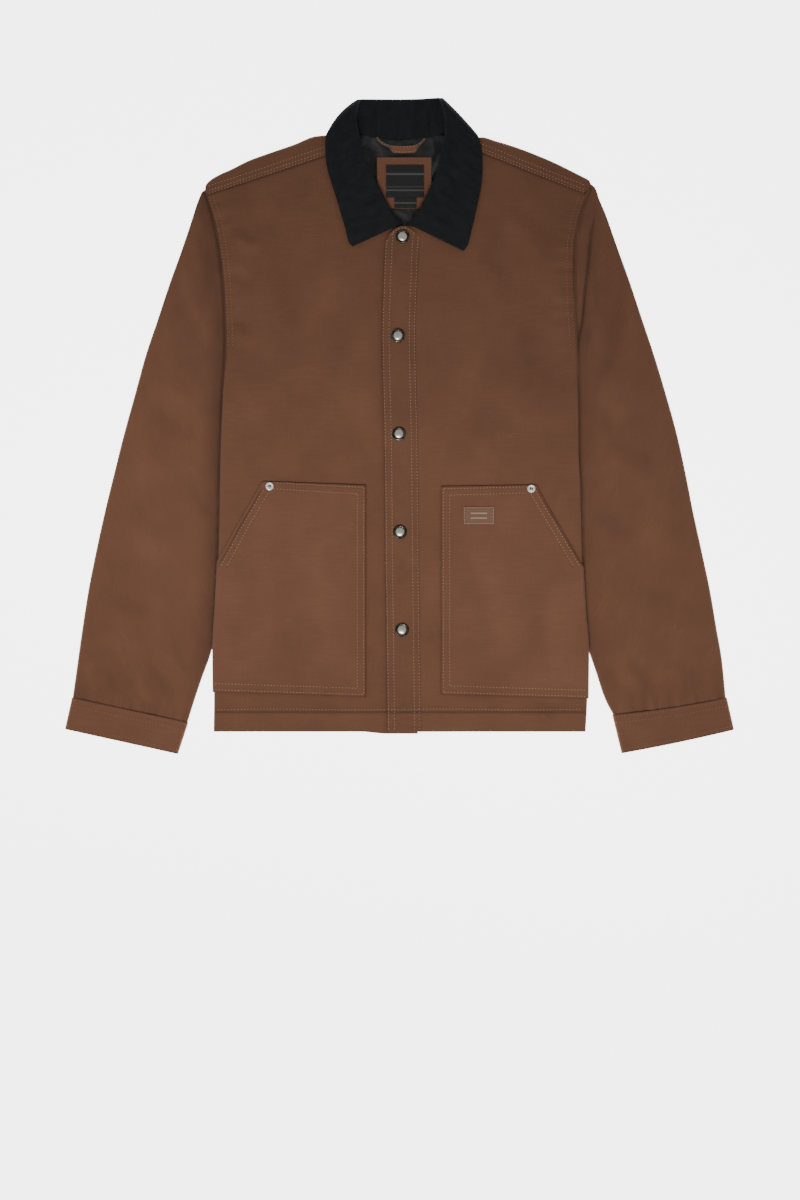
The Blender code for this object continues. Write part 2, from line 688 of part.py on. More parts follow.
def ring_line(side, ring, number):
    """The flat part of a ring: its points in plan, and which way each of its ends faces."""
    radius = BODY_HEIGHT / 2
    if number == 0:
        tip_y = SHOULDER_TIP[side][1]
        outward = math.copysign(ARMHOLE_GAP, side_x(side, ARMPIT))
        knots = [mix(ARMPIT, tip_y - radius, rise) for rise in ARMHOLE_RISE]
        knots.append(ARMPIT + radius)
        points = [Vector((side_x(side, y) + outward, y)) for y in knots]
        return points, Vector((0, 1)), Vector((0, -1))
    outer = Vector((ring.outer_x, ring.outer_y))
    inner = Vector((ring.inner_x, ring.inner_y))
    way = (inner - outer).normalized()
    down = Vector((way.y, -way.x))
    down *= math.copysign(1, -down.y)
    points = []
    for step in range(FLAT_STEPS + 1):
        share = step / FLAT_STEPS
        place = (outer + way * radius).lerp(inner - way * radius, share)
        points.append(place + down * ring.bow * 4 * share * (1 - share))
    return points, -way, way


def tube_ring(line, height, relief, out):
    """A loop round a flattened tube: its upper layer, one fold, its lower layer, the other fold."""
    points, outer_way, inner_way = line
    radius = height / 2
    reach = radius + out
    top = []
    for step, point in enumerate(points):
        share = step / FLAT_STEPS
        top.append((*point, radius + reach + relief * 4 * share * (1 - share)))

    def fold(centre, way, turns):
        loop = []
        for degrees in turns:
            angle = math.radians(degrees)
            place = centre + way * reach * math.cos(angle)
            loop.append((*place, radius + reach * math.sin(angle)))
        return loop

    bottom = [(*point, radius - reach) for point in reversed(points)]
    inner_fold = fold(points[-1], inner_way, END_TURNS)
    outer_fold = fold(points[0], outer_way, reversed(END_TURNS))
    return top + inner_fold + bottom + outer_fold


def tube(name, side, rings, height, first):
    """A flattened tube, open at both ends. first is the number of its first ring."""
    lines = [ring_line(side, ring, number) for number, ring in enumerate(rings, first)]
    reliefs = [ring.relief if ring else 0 for ring in rings]
    skins = []
    for out in (0, -WALL):
        loops = [tube_ring(line, height, relief, out) for line, relief in zip(lines, reliefs)]
        skins.append(sum(loops, []))
    around = len(skins[0]) // len(rings)
    faces = [
        (
            row * around + at,
            row * around + (at + 1) % around,
            (row + 1) * around + (at + 1) % around,
            (row + 1) * around + at,
        )
        for row in range(len(rings) - 1)
        for at in range(around)
    ]
    wall(name, CANVAS, *skins, faces)


# The collar


def collar_points(side, station):
    """One section of the collar: up the stand, round the roll and down the fall."""
    seam = Vector((station.seam_x, station.seam_y))
    roll = Vector((station.roll_x, station.roll_y))
    edge = Vector((station.edge_x, station.edge_y))
    tilt = math.radians(station.tilt)
    way = (edge - roll).normalized()
    outward = Vector((way.y, -way.x)) if side == "right" else Vector((-way.y, way.x))
    up = math.sin(tilt)
    over = overlap(*seam) if side == "left" and station.tilt == 90 else 0

    stand = mix(STAND_BACK, STAND_FRONT, (1 + up) / 2) + over
    fall = mix(FALL_BACK, FALL_FRONT, (1 + up) / 2) + over
    if station.tilt in (-90, 90):
        radius = abs(fall - stand) / 2
    else:
        radius = ROLL_RADIUS
    centre = roll + way * (WALL / 2 + radius)
    middle = (stand + fall) / 2
    normal = Vector((*(outward * math.cos(tilt)), up))
    points = [(*seam, stand)]
    start = Vector((*centre, middle)) - normal * radius
    points.append(tuple(Vector(points[0]).lerp(start, 0.5)))
    for turn in range(COLLAR_TURNS + 1):
        angle = math.pi * turn / COLLAR_TURNS
        back = Vector((*(way * -radius * math.sin(angle)), 0))
        points.append(tuple(Vector((*centre, middle)) - normal * radius * math.cos(angle) + back))
    begin = Vector(points[-1])
    for share in FALL_SHARES:
        place = begin.xy.lerp(edge, share)
        place += outward * station.bow * 4 * share * (1 - share)
        height = begin.z
        if station.tilt == 90:
            height = front_top(side, *place) + FALL_CLEAR + WALL / 2
        points.append((*place, height))
    return points


def make_collar():
    left = [collar_points("left", station) for station in reversed(COLLAR_STATIONS["left"])]
    right = [collar_points("right", station) for station in COLLAR_STATIONS["right"]]
    sections = left + [collar_points("right", COLLAR_MIDDLE)] + right
    faces = grid_faces(len(sections), len(sections[0]))
    collar = add("collar", NAP, sum(sections, []), faces)
    solid = collar.modifiers.new("wall", "SOLIDIFY")
    solid.thickness = WALL * MM
    solid.offset = 0


# Small pieces


def stud(name, finish, profile, sides, x, y, height):
    """A turned metal piece, set square to the cloth under it. height(x, y) is that cloth."""
    reach = profile[0][0]
    slope_x = (height(x + reach, y) - height(x - reach, y)) / (2 * reach)
    slope_y = (height(x, y + reach) - height(x, y - reach)) / (2 * reach)
    normal = Vector((-slope_x, -slope_y, 1)).normalized()
    points, faces = [], []
    for radius, level in profile:
        for step in range(sides):
            angle = 2 * math.pi * step / sides
            points.append((radius * math.cos(angle), radius * math.sin(angle), level))
    for row in range(len(profile) - 1):
        for at in range(sides):
            after = (at + 1) % sides
            faces.append(
                (row * sides + at, row * sides + after, (row + 1) * sides + after, (row + 1) * sides + at)
            )
    last = (len(profile) - 1) * sides
    faces.append(tuple(reversed(range(sides))))
    faces.append(tuple(range(last, last + sides)))
    piece = add(name, finish, points, faces)
    piece.rotation_mode = "QUATERNION"
    piece.rotation_quaternion = Vector((0, 0, 1)).rotation_difference(normal)
    piece.location = (Vector((x, y, height(x, y))) + normal * SEAM) * MM


def loop_rows():
    """The hanger loop is a narrow strip along a curved line."""
    rows = []
    line = [Vector(point) for point in LOOP_LINE]
    for at, point in enumerate(line):
        way = (line[min(at + 1, len(line) - 1)] - line[max(at - 1, 0)]).normalized()
        across = Vector((-way.y, way.x))
        share = at / (len(line) - 1)
        half = mix(LOOP_END_WIDTH, LOOP_WIDTH, 4 * share * (1 - share)) / 2
        rows.append([tuple(point - across * half), tuple(point + across * half)])
    return rows


def pocket_label_face(out):
    (left, low), (right, high) = POCKET_LABEL_BOX
    lift = SEAM + PATCH + SEAM + LABEL + out
    columns = [mix(left, right, share) for share in (0, 0.5, 1)]
    return [[(x, y, front_top("left", x, y) + lift) for x in columns] for y in (low, high)]


def make_small_pieces():
    lining = FALL_LIFT + WALL + SEAM
    facing = lining + TRIM + SEAM
    label = facing + TRIM + SEAM
    rows = [[(left, y), (right, y)] for y, left, right in LINING_ROWS]
    slab("lining", LINING_CLOTH, rows, lining, TRIM)
    slab("neck_facing", CANVAS, box_rows(FACING_BOX), facing, TRIM)
    slab("neck_label", BLACK_WEAVE, box_rows(LABEL_BOX), label, LABEL)
    slab("size_tab", BLACK_WEAVE, box_rows(TAB_BOX), label, LABEL)
    slab("hanger_loop", CANVAS, loop_rows(), facing, TRIM)
    panel("pocket_label", BLACK_WEAVE, pocket_label_face, LABEL)

    def on_placket(x, y):
        return front_top("left", x, y) + PLACKET_GAP + BAND

    for number, (x, y) in enumerate(SNAPS, 1):
        stud(f"snap_{number}", ANTIQUE_METAL, SNAP_PROFILE, SNAP_SIDES, x, y, on_placket)
    for side, (x, y) in RIVETS.items():

        def on_pocket(x, y, side=side):
            return front_top(side, x, y) + SEAM + PATCH

        stud(f"rivet_{side}", BRIGHT_METAL, RIVET_PROFILE, RIVET_SIDES, x, y, on_pocket)


for thing in list(bpy.data.objects):
    bpy.data.objects.remove(thing)

make_back()
for side in ("right", "left"):
    panel(f"front_{side}", CANVAS, lambda out: front_face(side, out), WALL)
    panel(f"pocket_{side}", CANVAS, lambda out: pocket_face(side, out), PATCH)
    tube(f"sleeve_{side}", side, [None, *SLEEVE_RINGS[side]], BODY_HEIGHT, 0)
    tube(f"cuff_{side}", side, CUFF_RINGS[side], CUFF_HEIGHT, 1)
panel("placket", CANVAS, placket_face, BAND)
make_collar()
make_small_pieces()
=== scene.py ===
# %% [markdown]
# # A canvas barn jacket, lying flat on its back
#
# The CAD frame holds plain walls of cloth. Here each of them gets a finer one in its place: the
# same sections, read smoothly and more closely, with folds, puckers and real stitches. "left" and
# "right" are the wearer's. +Y points to the collar, +X to the wearer's left, and +Z is up.
# Places and sizes are in millimetres, and MM turns them into Blender's metres.

# %% Setup
import math
from collections import namedtuple
from functools import partial

import bpy
import numpy as np
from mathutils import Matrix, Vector, noise
from mathutils.bvhtree import BVHTree


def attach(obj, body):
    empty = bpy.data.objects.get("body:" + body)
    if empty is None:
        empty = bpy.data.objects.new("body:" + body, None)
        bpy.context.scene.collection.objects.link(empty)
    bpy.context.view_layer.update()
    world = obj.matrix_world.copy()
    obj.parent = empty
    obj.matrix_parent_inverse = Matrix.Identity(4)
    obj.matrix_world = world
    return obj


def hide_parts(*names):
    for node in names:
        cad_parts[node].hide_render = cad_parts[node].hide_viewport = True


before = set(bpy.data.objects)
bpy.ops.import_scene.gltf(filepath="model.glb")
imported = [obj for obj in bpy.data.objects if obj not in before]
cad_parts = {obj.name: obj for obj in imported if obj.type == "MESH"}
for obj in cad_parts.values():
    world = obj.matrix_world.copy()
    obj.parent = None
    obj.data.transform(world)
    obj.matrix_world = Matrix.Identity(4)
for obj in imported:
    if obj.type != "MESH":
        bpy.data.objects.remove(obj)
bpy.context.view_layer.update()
MM = 0.001
SIGN = {"right": -1, "left": 1}  # of x on each side
SIDES = tuple(SIGN)

# %% [markdown]
# ## Camera
# Clothes that lie flat are photographed from straight above. A short lens would look under the
# collar, so a long lens far above draws all heights at one scale. The photo is 800 by 1200 pixels of
# 1.17 mm each, and its middle lies below the hem.

# %% Camera
PIXEL = 1.17 * MM
PHOTO_HEIGHT = 1200 * PIXEL
LENS, SENSOR = 85, 36
VIEW_X, VIEW_Y, CLOTH_LEVEL = 1.2 * MM, -204.8 * MM, 8 * MM

camera_data = bpy.data.cameras.new("camera")
camera_data.lens = LENS
camera_data.sensor_width = SENSOR
camera = bpy.data.objects.new("camera", camera_data)
camera.location = (VIEW_X, VIEW_Y, CLOTH_LEVEL + PHOTO_HEIGHT * LENS / SENSOR)
bpy.context.collection.objects.link(camera)
bpy.context.scene.camera = camera
print(f"The camera is {camera.location.z:.2f} m above the floor.")

# %% [markdown]
# ## Floor and light
# The jacket lies on white paper in soft light. Many lamps could light the paper, but they would
# flatten the folds. So the paper glows by itself, the sky is even, and one wide, low softbox below
# the hem picks out the folds.

# %% Floor and light
FLOOR_SIZE, FLOOR_LEVEL = 12, -0.5 * MM
PAPER = {
    "Base Color": (0.9, 0.9, 0.9, 1),
    "Roughness": 0.9,
    "Emission Color": (1, 1, 1, 1),
    "Emission Strength": 4.5,
}
SKY_STRENGTH = 0.44

bpy.ops.mesh.primitive_plane_add(size=FLOOR_SIZE, location=(0, 0, FLOOR_LEVEL))
floor = bpy.context.object
floor.name = "floor"
paper = bpy.data.materials.new("paper")
paper.use_nodes = True
for socket, value in PAPER.items():
    paper.node_tree.nodes["Principled BSDF"].inputs[socket].default_value = value
floor.data.materials.append(paper)

world = bpy.context.scene.world or bpy.data.worlds.new("world")
bpy.context.scene.world = world
world.use_nodes = True
world.node_tree.nodes["Background"].inputs["Color"].default_value = (1, 1, 1, 1)
world.node_tree.nodes["Background"].inputs["Strength"].default_value = SKY_STRENGTH


def softbox(name, place, aim, size, power, spread):
    """A rectangular lamp with a grid that narrows its light to the spread, in degrees."""
    bpy.ops.object.light_add(type="AREA", location=place)
    lamp = bpy.context.object
    lamp.name = name
    lamp.data.shape = "RECTANGLE"
    lamp.data.size, lamp.data.size_y = size
    lamp.data.energy = power
    lamp.data.spread = math.radians(spread)
    lamp.rotation_euler = (Vector(aim) - Vector(place)).to_track_quat("-Z", "Y").to_euler()


softbox(
    "key_light", place=(-0.2, -1.0, 1.3), aim=(-0.02, -0.1, 0), size=(1.2, 0.3), power=1.9, spread=42
)
bpy.ops.object.select_all(action="DESELECT")

# %% [markdown]
# ## Reading tables smoothly
# An outline is a table of a few measured rows. Straight lines between them would show as corners,
# and a plain cubic curve would swing past them, so each column is read along a curve that turns only
# where its rows do.

# %% Reading tables smoothly
STEP = 4.2  # between the points of a fine piece
FINE = 3  # a step is this many times shorter where a piece needs closer rows


def table(kind, *rows):
    """Rows whose columns have the kind's names."""
    return [kind(*row) for row in rows]


def ease(share):
    share = np.clip(share, 0, 1)
    return share * share * (3 - 2 * share)


def mix(low, high, share):
    return low + (high - low) * share


def smooth(knots, values, at):
    """A smooth line through the values at rising knots, which never swings past them."""
    knots, values, at = (np.asarray(item, float) for item in (knots, values, at))
    gaps = np.diff(knots)
    slopes = np.diff(values) / gaps
    tangents = np.concatenate([slopes[:1], slopes[1:] * 0, slopes[-1:]])
    for i in range(1, len(slopes)):
        if slopes[i - 1] * slopes[i] > 0:
            a, b = 2 * gaps[i] + gaps[i - 1], gaps[i] + 2 * gaps[i - 1]
            tangents[i] = (a + b) / (a / slopes[i - 1] + b / slopes[i])
    at = np.clip(at, knots[0], knots[-1])
    i = np.clip(np.searchsorted(knots, at, side="right") - 1, 0, len(gaps) - 1)
    s = (at - knots[i]) / gaps[i]
    return (
        values[i] * (1 + 2 * s) * (1 - s) ** 2
        + values[i + 1] * s * s * (3 - 2 * s)
        + gaps[i] * (tangents[i] * s * (1 - s) ** 2 - tangents[i + 1] * s * s * (1 - s))
    )


def rows_between(rows, step=STEP, fine=0, fine_last=0):
    """The rows of a table read smoothly, no further apart than the step, or a third of it among the
    first or last few rows."""
    rows = np.array([tuple(row) for row in rows], float)
    at = [0.0]
    for i, (a, b) in enumerate(zip(rows, rows[1:])):
        near_end = i < fine or i >= len(rows) - 1 - fine_last
        count = max(1, math.ceil(np.abs(b - a).max() / (step / FINE if near_end else step)))
        at += [i + (k + 1) / count for k in range(count)]
    number = np.arange(len(rows))
    return np.stack([smooth(number, column, at) for column in rows.T], axis=1)


print("Through 0, 1 and 10, a smooth line is at", round(float(smooth([0, 1, 2], [0, 1, 10], 1.5)), 2))

# %% [markdown]
# ## The outline of the body
# A jacket's body is a back and two fronts, sewn at the sides, armholes and shoulders. One drawn
# outline would do for a picture, but each seam needs its own stretch, so the sides and the shoulder
# seams are tables, which repeat the CAD's own places.

# %% The outline of the body
WALL = 2.4  # canvas and its lining, for the body, sleeves and collar
LOFT = 1.6  # room between the front and the back
BODY_HEIGHT = 2 * WALL + LOFT
SEAM = 0.3  # between two pieces that are sewn together

ARMPIT = 90
HEM, HEM_TOP = -359, -333
SideEdge = namedtuple("SideEdge", "y right left")
SIDE_EDGES = table(
    SideEdge,
    (-361, -217.2, 218.6), (-316, -216.7, 220.7), (-262, -216.7, 220.7), (-212, -214, 216.9),
    (-165, -211.5, 214.4), (-118, -210.1, 213.2), (-70, -209.3, 212), (-30, -208.5, 210.1),
    (8, -207, 209.8), (50, -205, 209.2), (ARMPIT, -202.3, 208.5), (130, -203.3, 205.3),
    (160, -204.8, 204.4), (193, -207.8, 204), (225, -212.9, 205.6), (247, -217.9, 211.8),
    (261, -223, 216.5), (269, -225.2, 218.6), (277, -228.2, 222.5), (284, -229, 225.9),
)
SHOULDER_TIP = {"right": (-228.2, 276.7), "left": (225.9, 284)}
NECK_POINT = {"right": -57.3, "left": 61.4}
# The forward shoulder seam, from the armhole to the neck
SHOULDER_SEAM = {
    "right": ((-225.2, 269.1), (-55.6, 323.9)),
    "left": ((218.6, 270.5), (60.3, 331.7)),
}
ARMHOLE_PLACES = (92, 115, 140, 165, 190, 215, 240, 268)


def side_x(side, y):
    """The side of the body, or its armhole above the armpit."""
    return smooth([row.y for row in SIDE_EDGES], [getattr(row, side) for row in SIDE_EDGES], y)


def armhole(side, inset=0):
    """A line along the armhole, this far in from it."""
    return [(float(side_x(side, y)) - SIGN[side] * inset, y) for y in ARMHOLE_PLACES]


def shoulder_line(side):
    return list(SHOULDER_SEAM[side])


print(f"The chest is {float(side_x('left', ARMPIT) - side_x('right', ARMPIT)):.0f} mm wide.")

# %% [markdown]
# ## How high the cloth lies
# The sleeves are tucked under the sides of the body, the collar under the back of the neck, and the
# left front laps over the right one. A cloth simulation could settle them, but each run would end
# differently. These heights are sums of soft steps, so each layer follows the one below it.

# %% How high the cloth lies
# The left front laps over the right front by this much, and comes down to the same height here
OVER_LIFT = WALL + SEAM
OVER_FROM, OVER_RAMP = 29, 54
OVER_FADE_FROM, OVER_FADE = 236, 74

# The sleeves are tucked under the sides of the body, which they hold up
TUCK_LIFT = BODY_HEIGHT + 0.4
TUCK_REACH, TUCK_RAMP = 36, 90
TUCK_TOP, TUCK_TOP_RAMP = 92, 80
TUCK_FOOT, TUCK_FOOT_RAMP = -333, 68

# The collar's fall is folded behind the neck and lifts it, and labels lie between front and back
FALL_LIFT = WALL + SEAM
NECK_PACK = 1.4
NECK_X = 2
SWELL_REACH, SWELL_SIDE_RAMP = 95, 70
SWELL_FOOT, SWELL_RAMP = 105, 100


def tuck(x, y):
    """How far the sleeve under the body's side lifts it."""
    edge = np.where(x > 0, side_x("left", y), side_x("right", y))
    inward = np.abs(edge) - np.abs(x)
    across = 1 - ease((inward - TUCK_REACH) / TUCK_RAMP)
    along = ease((TUCK_TOP - y) / TUCK_TOP_RAMP) * ease((y - TUCK_FOOT) / TUCK_FOOT_RAMP)
    return TUCK_LIFT * across * along


def swell(x, y):
    """1 round the neck, where the collar lies under the back, down to 0 away from it."""
    across = 1 - ease((np.abs(x - NECK_X) - SWELL_REACH) / SWELL_SIDE_RAMP)
    return across * ease((y - SWELL_FOOT) / SWELL_RAMP)


def underside(x, y):
    return tuck(x, y) + FALL_LIFT * swell(x, y)


def topside(x, y):
    return tuck(x, y) + BODY_HEIGHT + (FALL_LIFT + NECK_PACK) * swell(x, y)


def overlap(x, y):
    across = 1 - ease((x - OVER_FROM) / OVER_RAMP)
    return OVER_LIFT * across * (1 - ease((y - OVER_FADE_FROM) / OVER_FADE))


middle, edge = float(topside(0, 0)), float(topside(205, -100))
print(f"The body lies {middle:.1f} mm high, and {edge:.1f} mm where a sleeve is under it.")

# %% [markdown]
# ## Folds, puckers and seams
# Stiff canvas keeps the folds of being worn, and a sewn line gathers it into puckers. They could be
# sculpted, but a height that is worked out stays the same in every layer. Each fold is a soft ridge
# or hollow along a line, and noise makes the puckers uneven.

# %% Folds, puckers and seams
FOLD_STRENGTH = 2.4
FOLD_BEND = 0.07  # how far a fold bows aside, as a share of its length
FOLD_END = 0.4  # the share of its length in which it fades at each end
# Each fold goes from one point to another, and has its width and its height before the strength
Fold = namedtuple("Fold", "x y to_x to_y width height")


def bell(away, width):
    """1 on a line, and down to 0 away from it."""
    return np.exp(-((away / width) ** 2))


def folded(folds, x, y):
    """The height that the folds add. Each is a soft ridge that fades at its ends."""
    height = np.zeros(np.broadcast(x, y).shape)
    for number, fold in enumerate(folds):
        way = np.array([fold.to_x - fold.x, fold.to_y - fold.y], float)
        length = math.hypot(*way)
        way /= length
        share = ((x - fold.x) * way[0] + (y - fold.y) * way[1]) / length
        bend = length * FOLD_BEND * (-1) ** number * np.sin(math.pi * np.clip(share, 0, 1))
        across = (y - fold.y) * way[0] - (x - fold.x) * way[1] - bend
        ends = ease(share / FOLD_END + 0.25) * ease((1 - share) / FOLD_END + 0.25)
        height += fold.height * ends * bell(across, fold.width)
    return height


def waves(x, y, size, seed):
    """Soft uneven rises and hollows of about this size, from -1 to 1."""
    x, y = np.broadcast_arrays(np.asarray(x, float), np.asarray(y, float))
    flat = [
        noise.noise(Vector((a / size + seed, b / size - seed, seed * 1.7)))
        for a, b in zip(x.ravel(), y.ravel())
    ]
    return np.array(flat).reshape(x.shape)


def line_distance(points, x, y):
    """How far a place is from a line of points, and how far along the line it is."""
    x, y = np.broadcast_arrays(np.asarray(x, float), np.asarray(y, float))
    nearest, reach = np.full(x.shape, 1e9), np.zeros(x.shape)
    travelled = 0
    for (ax, ay), (bx, by) in zip(points, points[1:]):
        length = math.hypot(bx - ax, by - ay)
        share = np.clip(((x - ax) * (bx - ax) + (y - ay) * (by - ay)) / length**2, 0, 1)
        away = np.hypot(x - ax - share * (bx - ax), y - ay - share * (by - ay))
        reach = np.where(away < nearest, travelled + share * length, reach)
        nearest = np.minimum(nearest, away)
        travelled += length
    return nearest, reach


def puckers(points, x, y, width=9, height=0.16):
    """Small uneven gathers along a sewn line."""
    away, along = line_distance(points, x, y)
    seed = points[0][0] * 0.1
    ripple = waves(along, along * 0 + seed, 5.5, 3.1) + 0.6 * waves(along, along * 0 - seed, 11, 5.3)
    return height * ripple * bell(away, width)


def seam_dip(points, x, y, width=2.2, depth=0.5):
    """Cloth is drawn down to the line where it is sewn."""
    away, _ = line_distance(points, x, y)
    return -depth * bell(away, width)


print(f"A pucker 1 mm from its seam is {float(puckers([(0, 0), (0, 50)], 1, 20)):.2f} mm high.")

# %% [markdown]
# ## Making walls of cloth
# Cloth has two faces and a thin rim. Solidify could thicken a sheet, but these walls have an outer
# and an inner face of different shapes. So a function gives a grid of points at any distance off the
# outer face, two grids are joined round their rims, and a small bevel rounds those.

# %% Making walls of cloth
SHARP = 50  # degrees between faces, past which their edge shows
RIM_ANGLE = 60  # and past which a rim is rounded


def new_piece(name, points, faces, uvs, material, painted_shade_and_wear=None):
    """A mesh from points in millimetres. uvs are each point's place on the cloth, in millimetres,
    and the last argument is how much paler or darker each point is painted: painted shade and
    highlight on folds and seams, with some uneven tone."""
    mesh = bpy.data.meshes.new(name)
    mesh.from_pydata([tuple(point) for point in np.asarray(points) * MM], [], faces)
    layer = mesh.uv_layers.new(name="cloth")
    corners = np.empty(len(mesh.loops), int)
    mesh.loops.foreach_get("vertex_index", corners)
    layer.data.foreach_set("uv", (np.asarray(uvs)[corners] * MM).ravel())
    if painted_shade_and_wear is not None:
        mesh.attributes.new("painted_shade_and_wear", "FLOAT", "POINT").data.foreach_set("value", np.ravel(painted_shade_and_wear))
    mesh.materials.append(material)
    mesh.shade_smooth()
    mesh.set_sharp_from_angle(angle=math.radians(SHARP))
    piece = bpy.data.objects.new(name, mesh)
    bpy.context.collection.objects.link(piece)
    face_outward(piece)
    piece.select_set(False)
    return piece


def face_outward(piece):
    bpy.context.view_layer.objects.active = piece
    piece.select_set(True)
    bpy.ops.object.mode_set(mode="EDIT")
    bpy.ops.mesh.select_all(action="SELECT")
    bpy.ops.mesh.normals_make_consistent(inside=False)
    bpy.ops.object.mode_set(mode="OBJECT")


def grid_faces(rows, columns, first=0):
    return [
        (at, at + 1, at + columns + 1, at + columns)
        for row in range(rows - 1)
        for at in range(first + row * columns, first + (row + 1) * columns - 1)
    ]


def round_rim(piece, width, segments=2):
    bevel = piece.modifiers.new("rim", "BEVEL")
    bevel.width = width * MM
    bevel.segments = segments
    bevel.limit_method = "ANGLE"
    bevel.angle_limit = math.radians(RIM_ANGLE)


def wall(name, outer, inner, faces, uvs, material, rim=0.5, painted_shade_and_wear=None):
    """An outer and an inner face, joined all round and at any hole."""
    count = len(outer)
    edges = [(face[i - 1], face[i]) for face in faces for i in range(len(face))]
    used = set(edges)
    rims = [(b, a, a + count, b + count) for a, b in edges if (b, a) not in used]
    backs = [tuple(corner + count for corner in reversed(face)) for face in faces]
    points = np.concatenate([outer, inner])
    painted_shade_and_wear = np.concatenate([np.zeros(count) if painted_shade_and_wear is None else np.ravel(painted_shade_and_wear), np.zeros(count)])
    uvs = np.concatenate([uvs, uvs])
    piece = new_piece(name, points, faces + backs + rims, uvs, material, painted_shade_and_wear)
    if rim:
        round_rim(piece, rim)
    return piece


def in_a_row(grid):
    return grid.reshape(-1, grid.shape[-1])


def panel(name, face, thickness, material, uvs=None, rim=0.5, painted_shade_and_wear=None):
    """face(out) gives a grid of points, rows by columns by 3, and the last argument, read at (x, y),
    gives their painted shade and highlight, with some uneven tone.
    """
    outer, inner = face(0), face(-thickness)
    tone_shift = painted_shade_and_wear(outer[:, :, 0], outer[:, :, 1]) if painted_shade_and_wear else None
    faces = grid_faces(*outer.shape[:2])
    uvs = outer[:, :, :2] if uvs is None else uvs
    return wall(name, in_a_row(outer), in_a_row(inner), faces, in_a_row(uvs), material, rim, tone_shift)


def tell(*pieces):
    for piece in pieces:
        places = np.empty(3 * len(piece.data.vertices))
        piece.data.vertices.foreach_get("co", places)
        across, along, high = np.ptp(places.reshape(-1, 3), axis=0) / MM
        faces = len(piece.data.polygons)
        print(f"{piece.name}: {across:.0f} by {along:.0f} by {high:.0f} mm, {faces} faces")


print("A grid of 3 by 3 points has", len(grid_faces(3, 3)), "faces.")

# %% [markdown]
# ## Numbers that change over a surface
# A finish is worked out by nodes, which could be wired by hand, but a long sum is then hard to follow.
# Here a Reading stands for what a node gives, and each + or * on it adds a Math node.

# %% Numbers that change over a surface
class Reading:
    """What a node gives at each point of a piece. Sums on it add Math nodes."""

    def __init__(self, finish, socket):
        self.finish, self.socket = finish, socket

    def maths(self, operation, *values):
        return self.finish.node("Math", dict(enumerate(values)), operation=operation)

    def __add__(self, other):
        return self.maths("ADD", self, other)

    def __sub__(self, other):
        return self.maths("SUBTRACT", self, other)

    def __rsub__(self, other):
        return self.maths("SUBTRACT", other, self)

    def __mul__(self, other):
        return self.maths("MULTIPLY", self, other)

    __radd__, __rmul__ = __add__, __mul__

    def at_least(self, other):
        return self.maths("MAXIMUM", self, other)

    def between(self, low, high):
        """1 where it lies between the two, and 0 elsewhere."""
        return self.maths("GREATER_THAN", self, low) * self.maths("LESS_THAN", self, high)


print("A Reading knows", [name for name in vars(Reading) if name[0] != "_"])

# %% [markdown]
# ## A finish
# A Finish is a material and its nodes. Its textures could be pictures, but a picture has one
# sharpness. These are noise and waves that read the cloth's own coordinates, in metres, so that
# threads keep their real size from near or far.

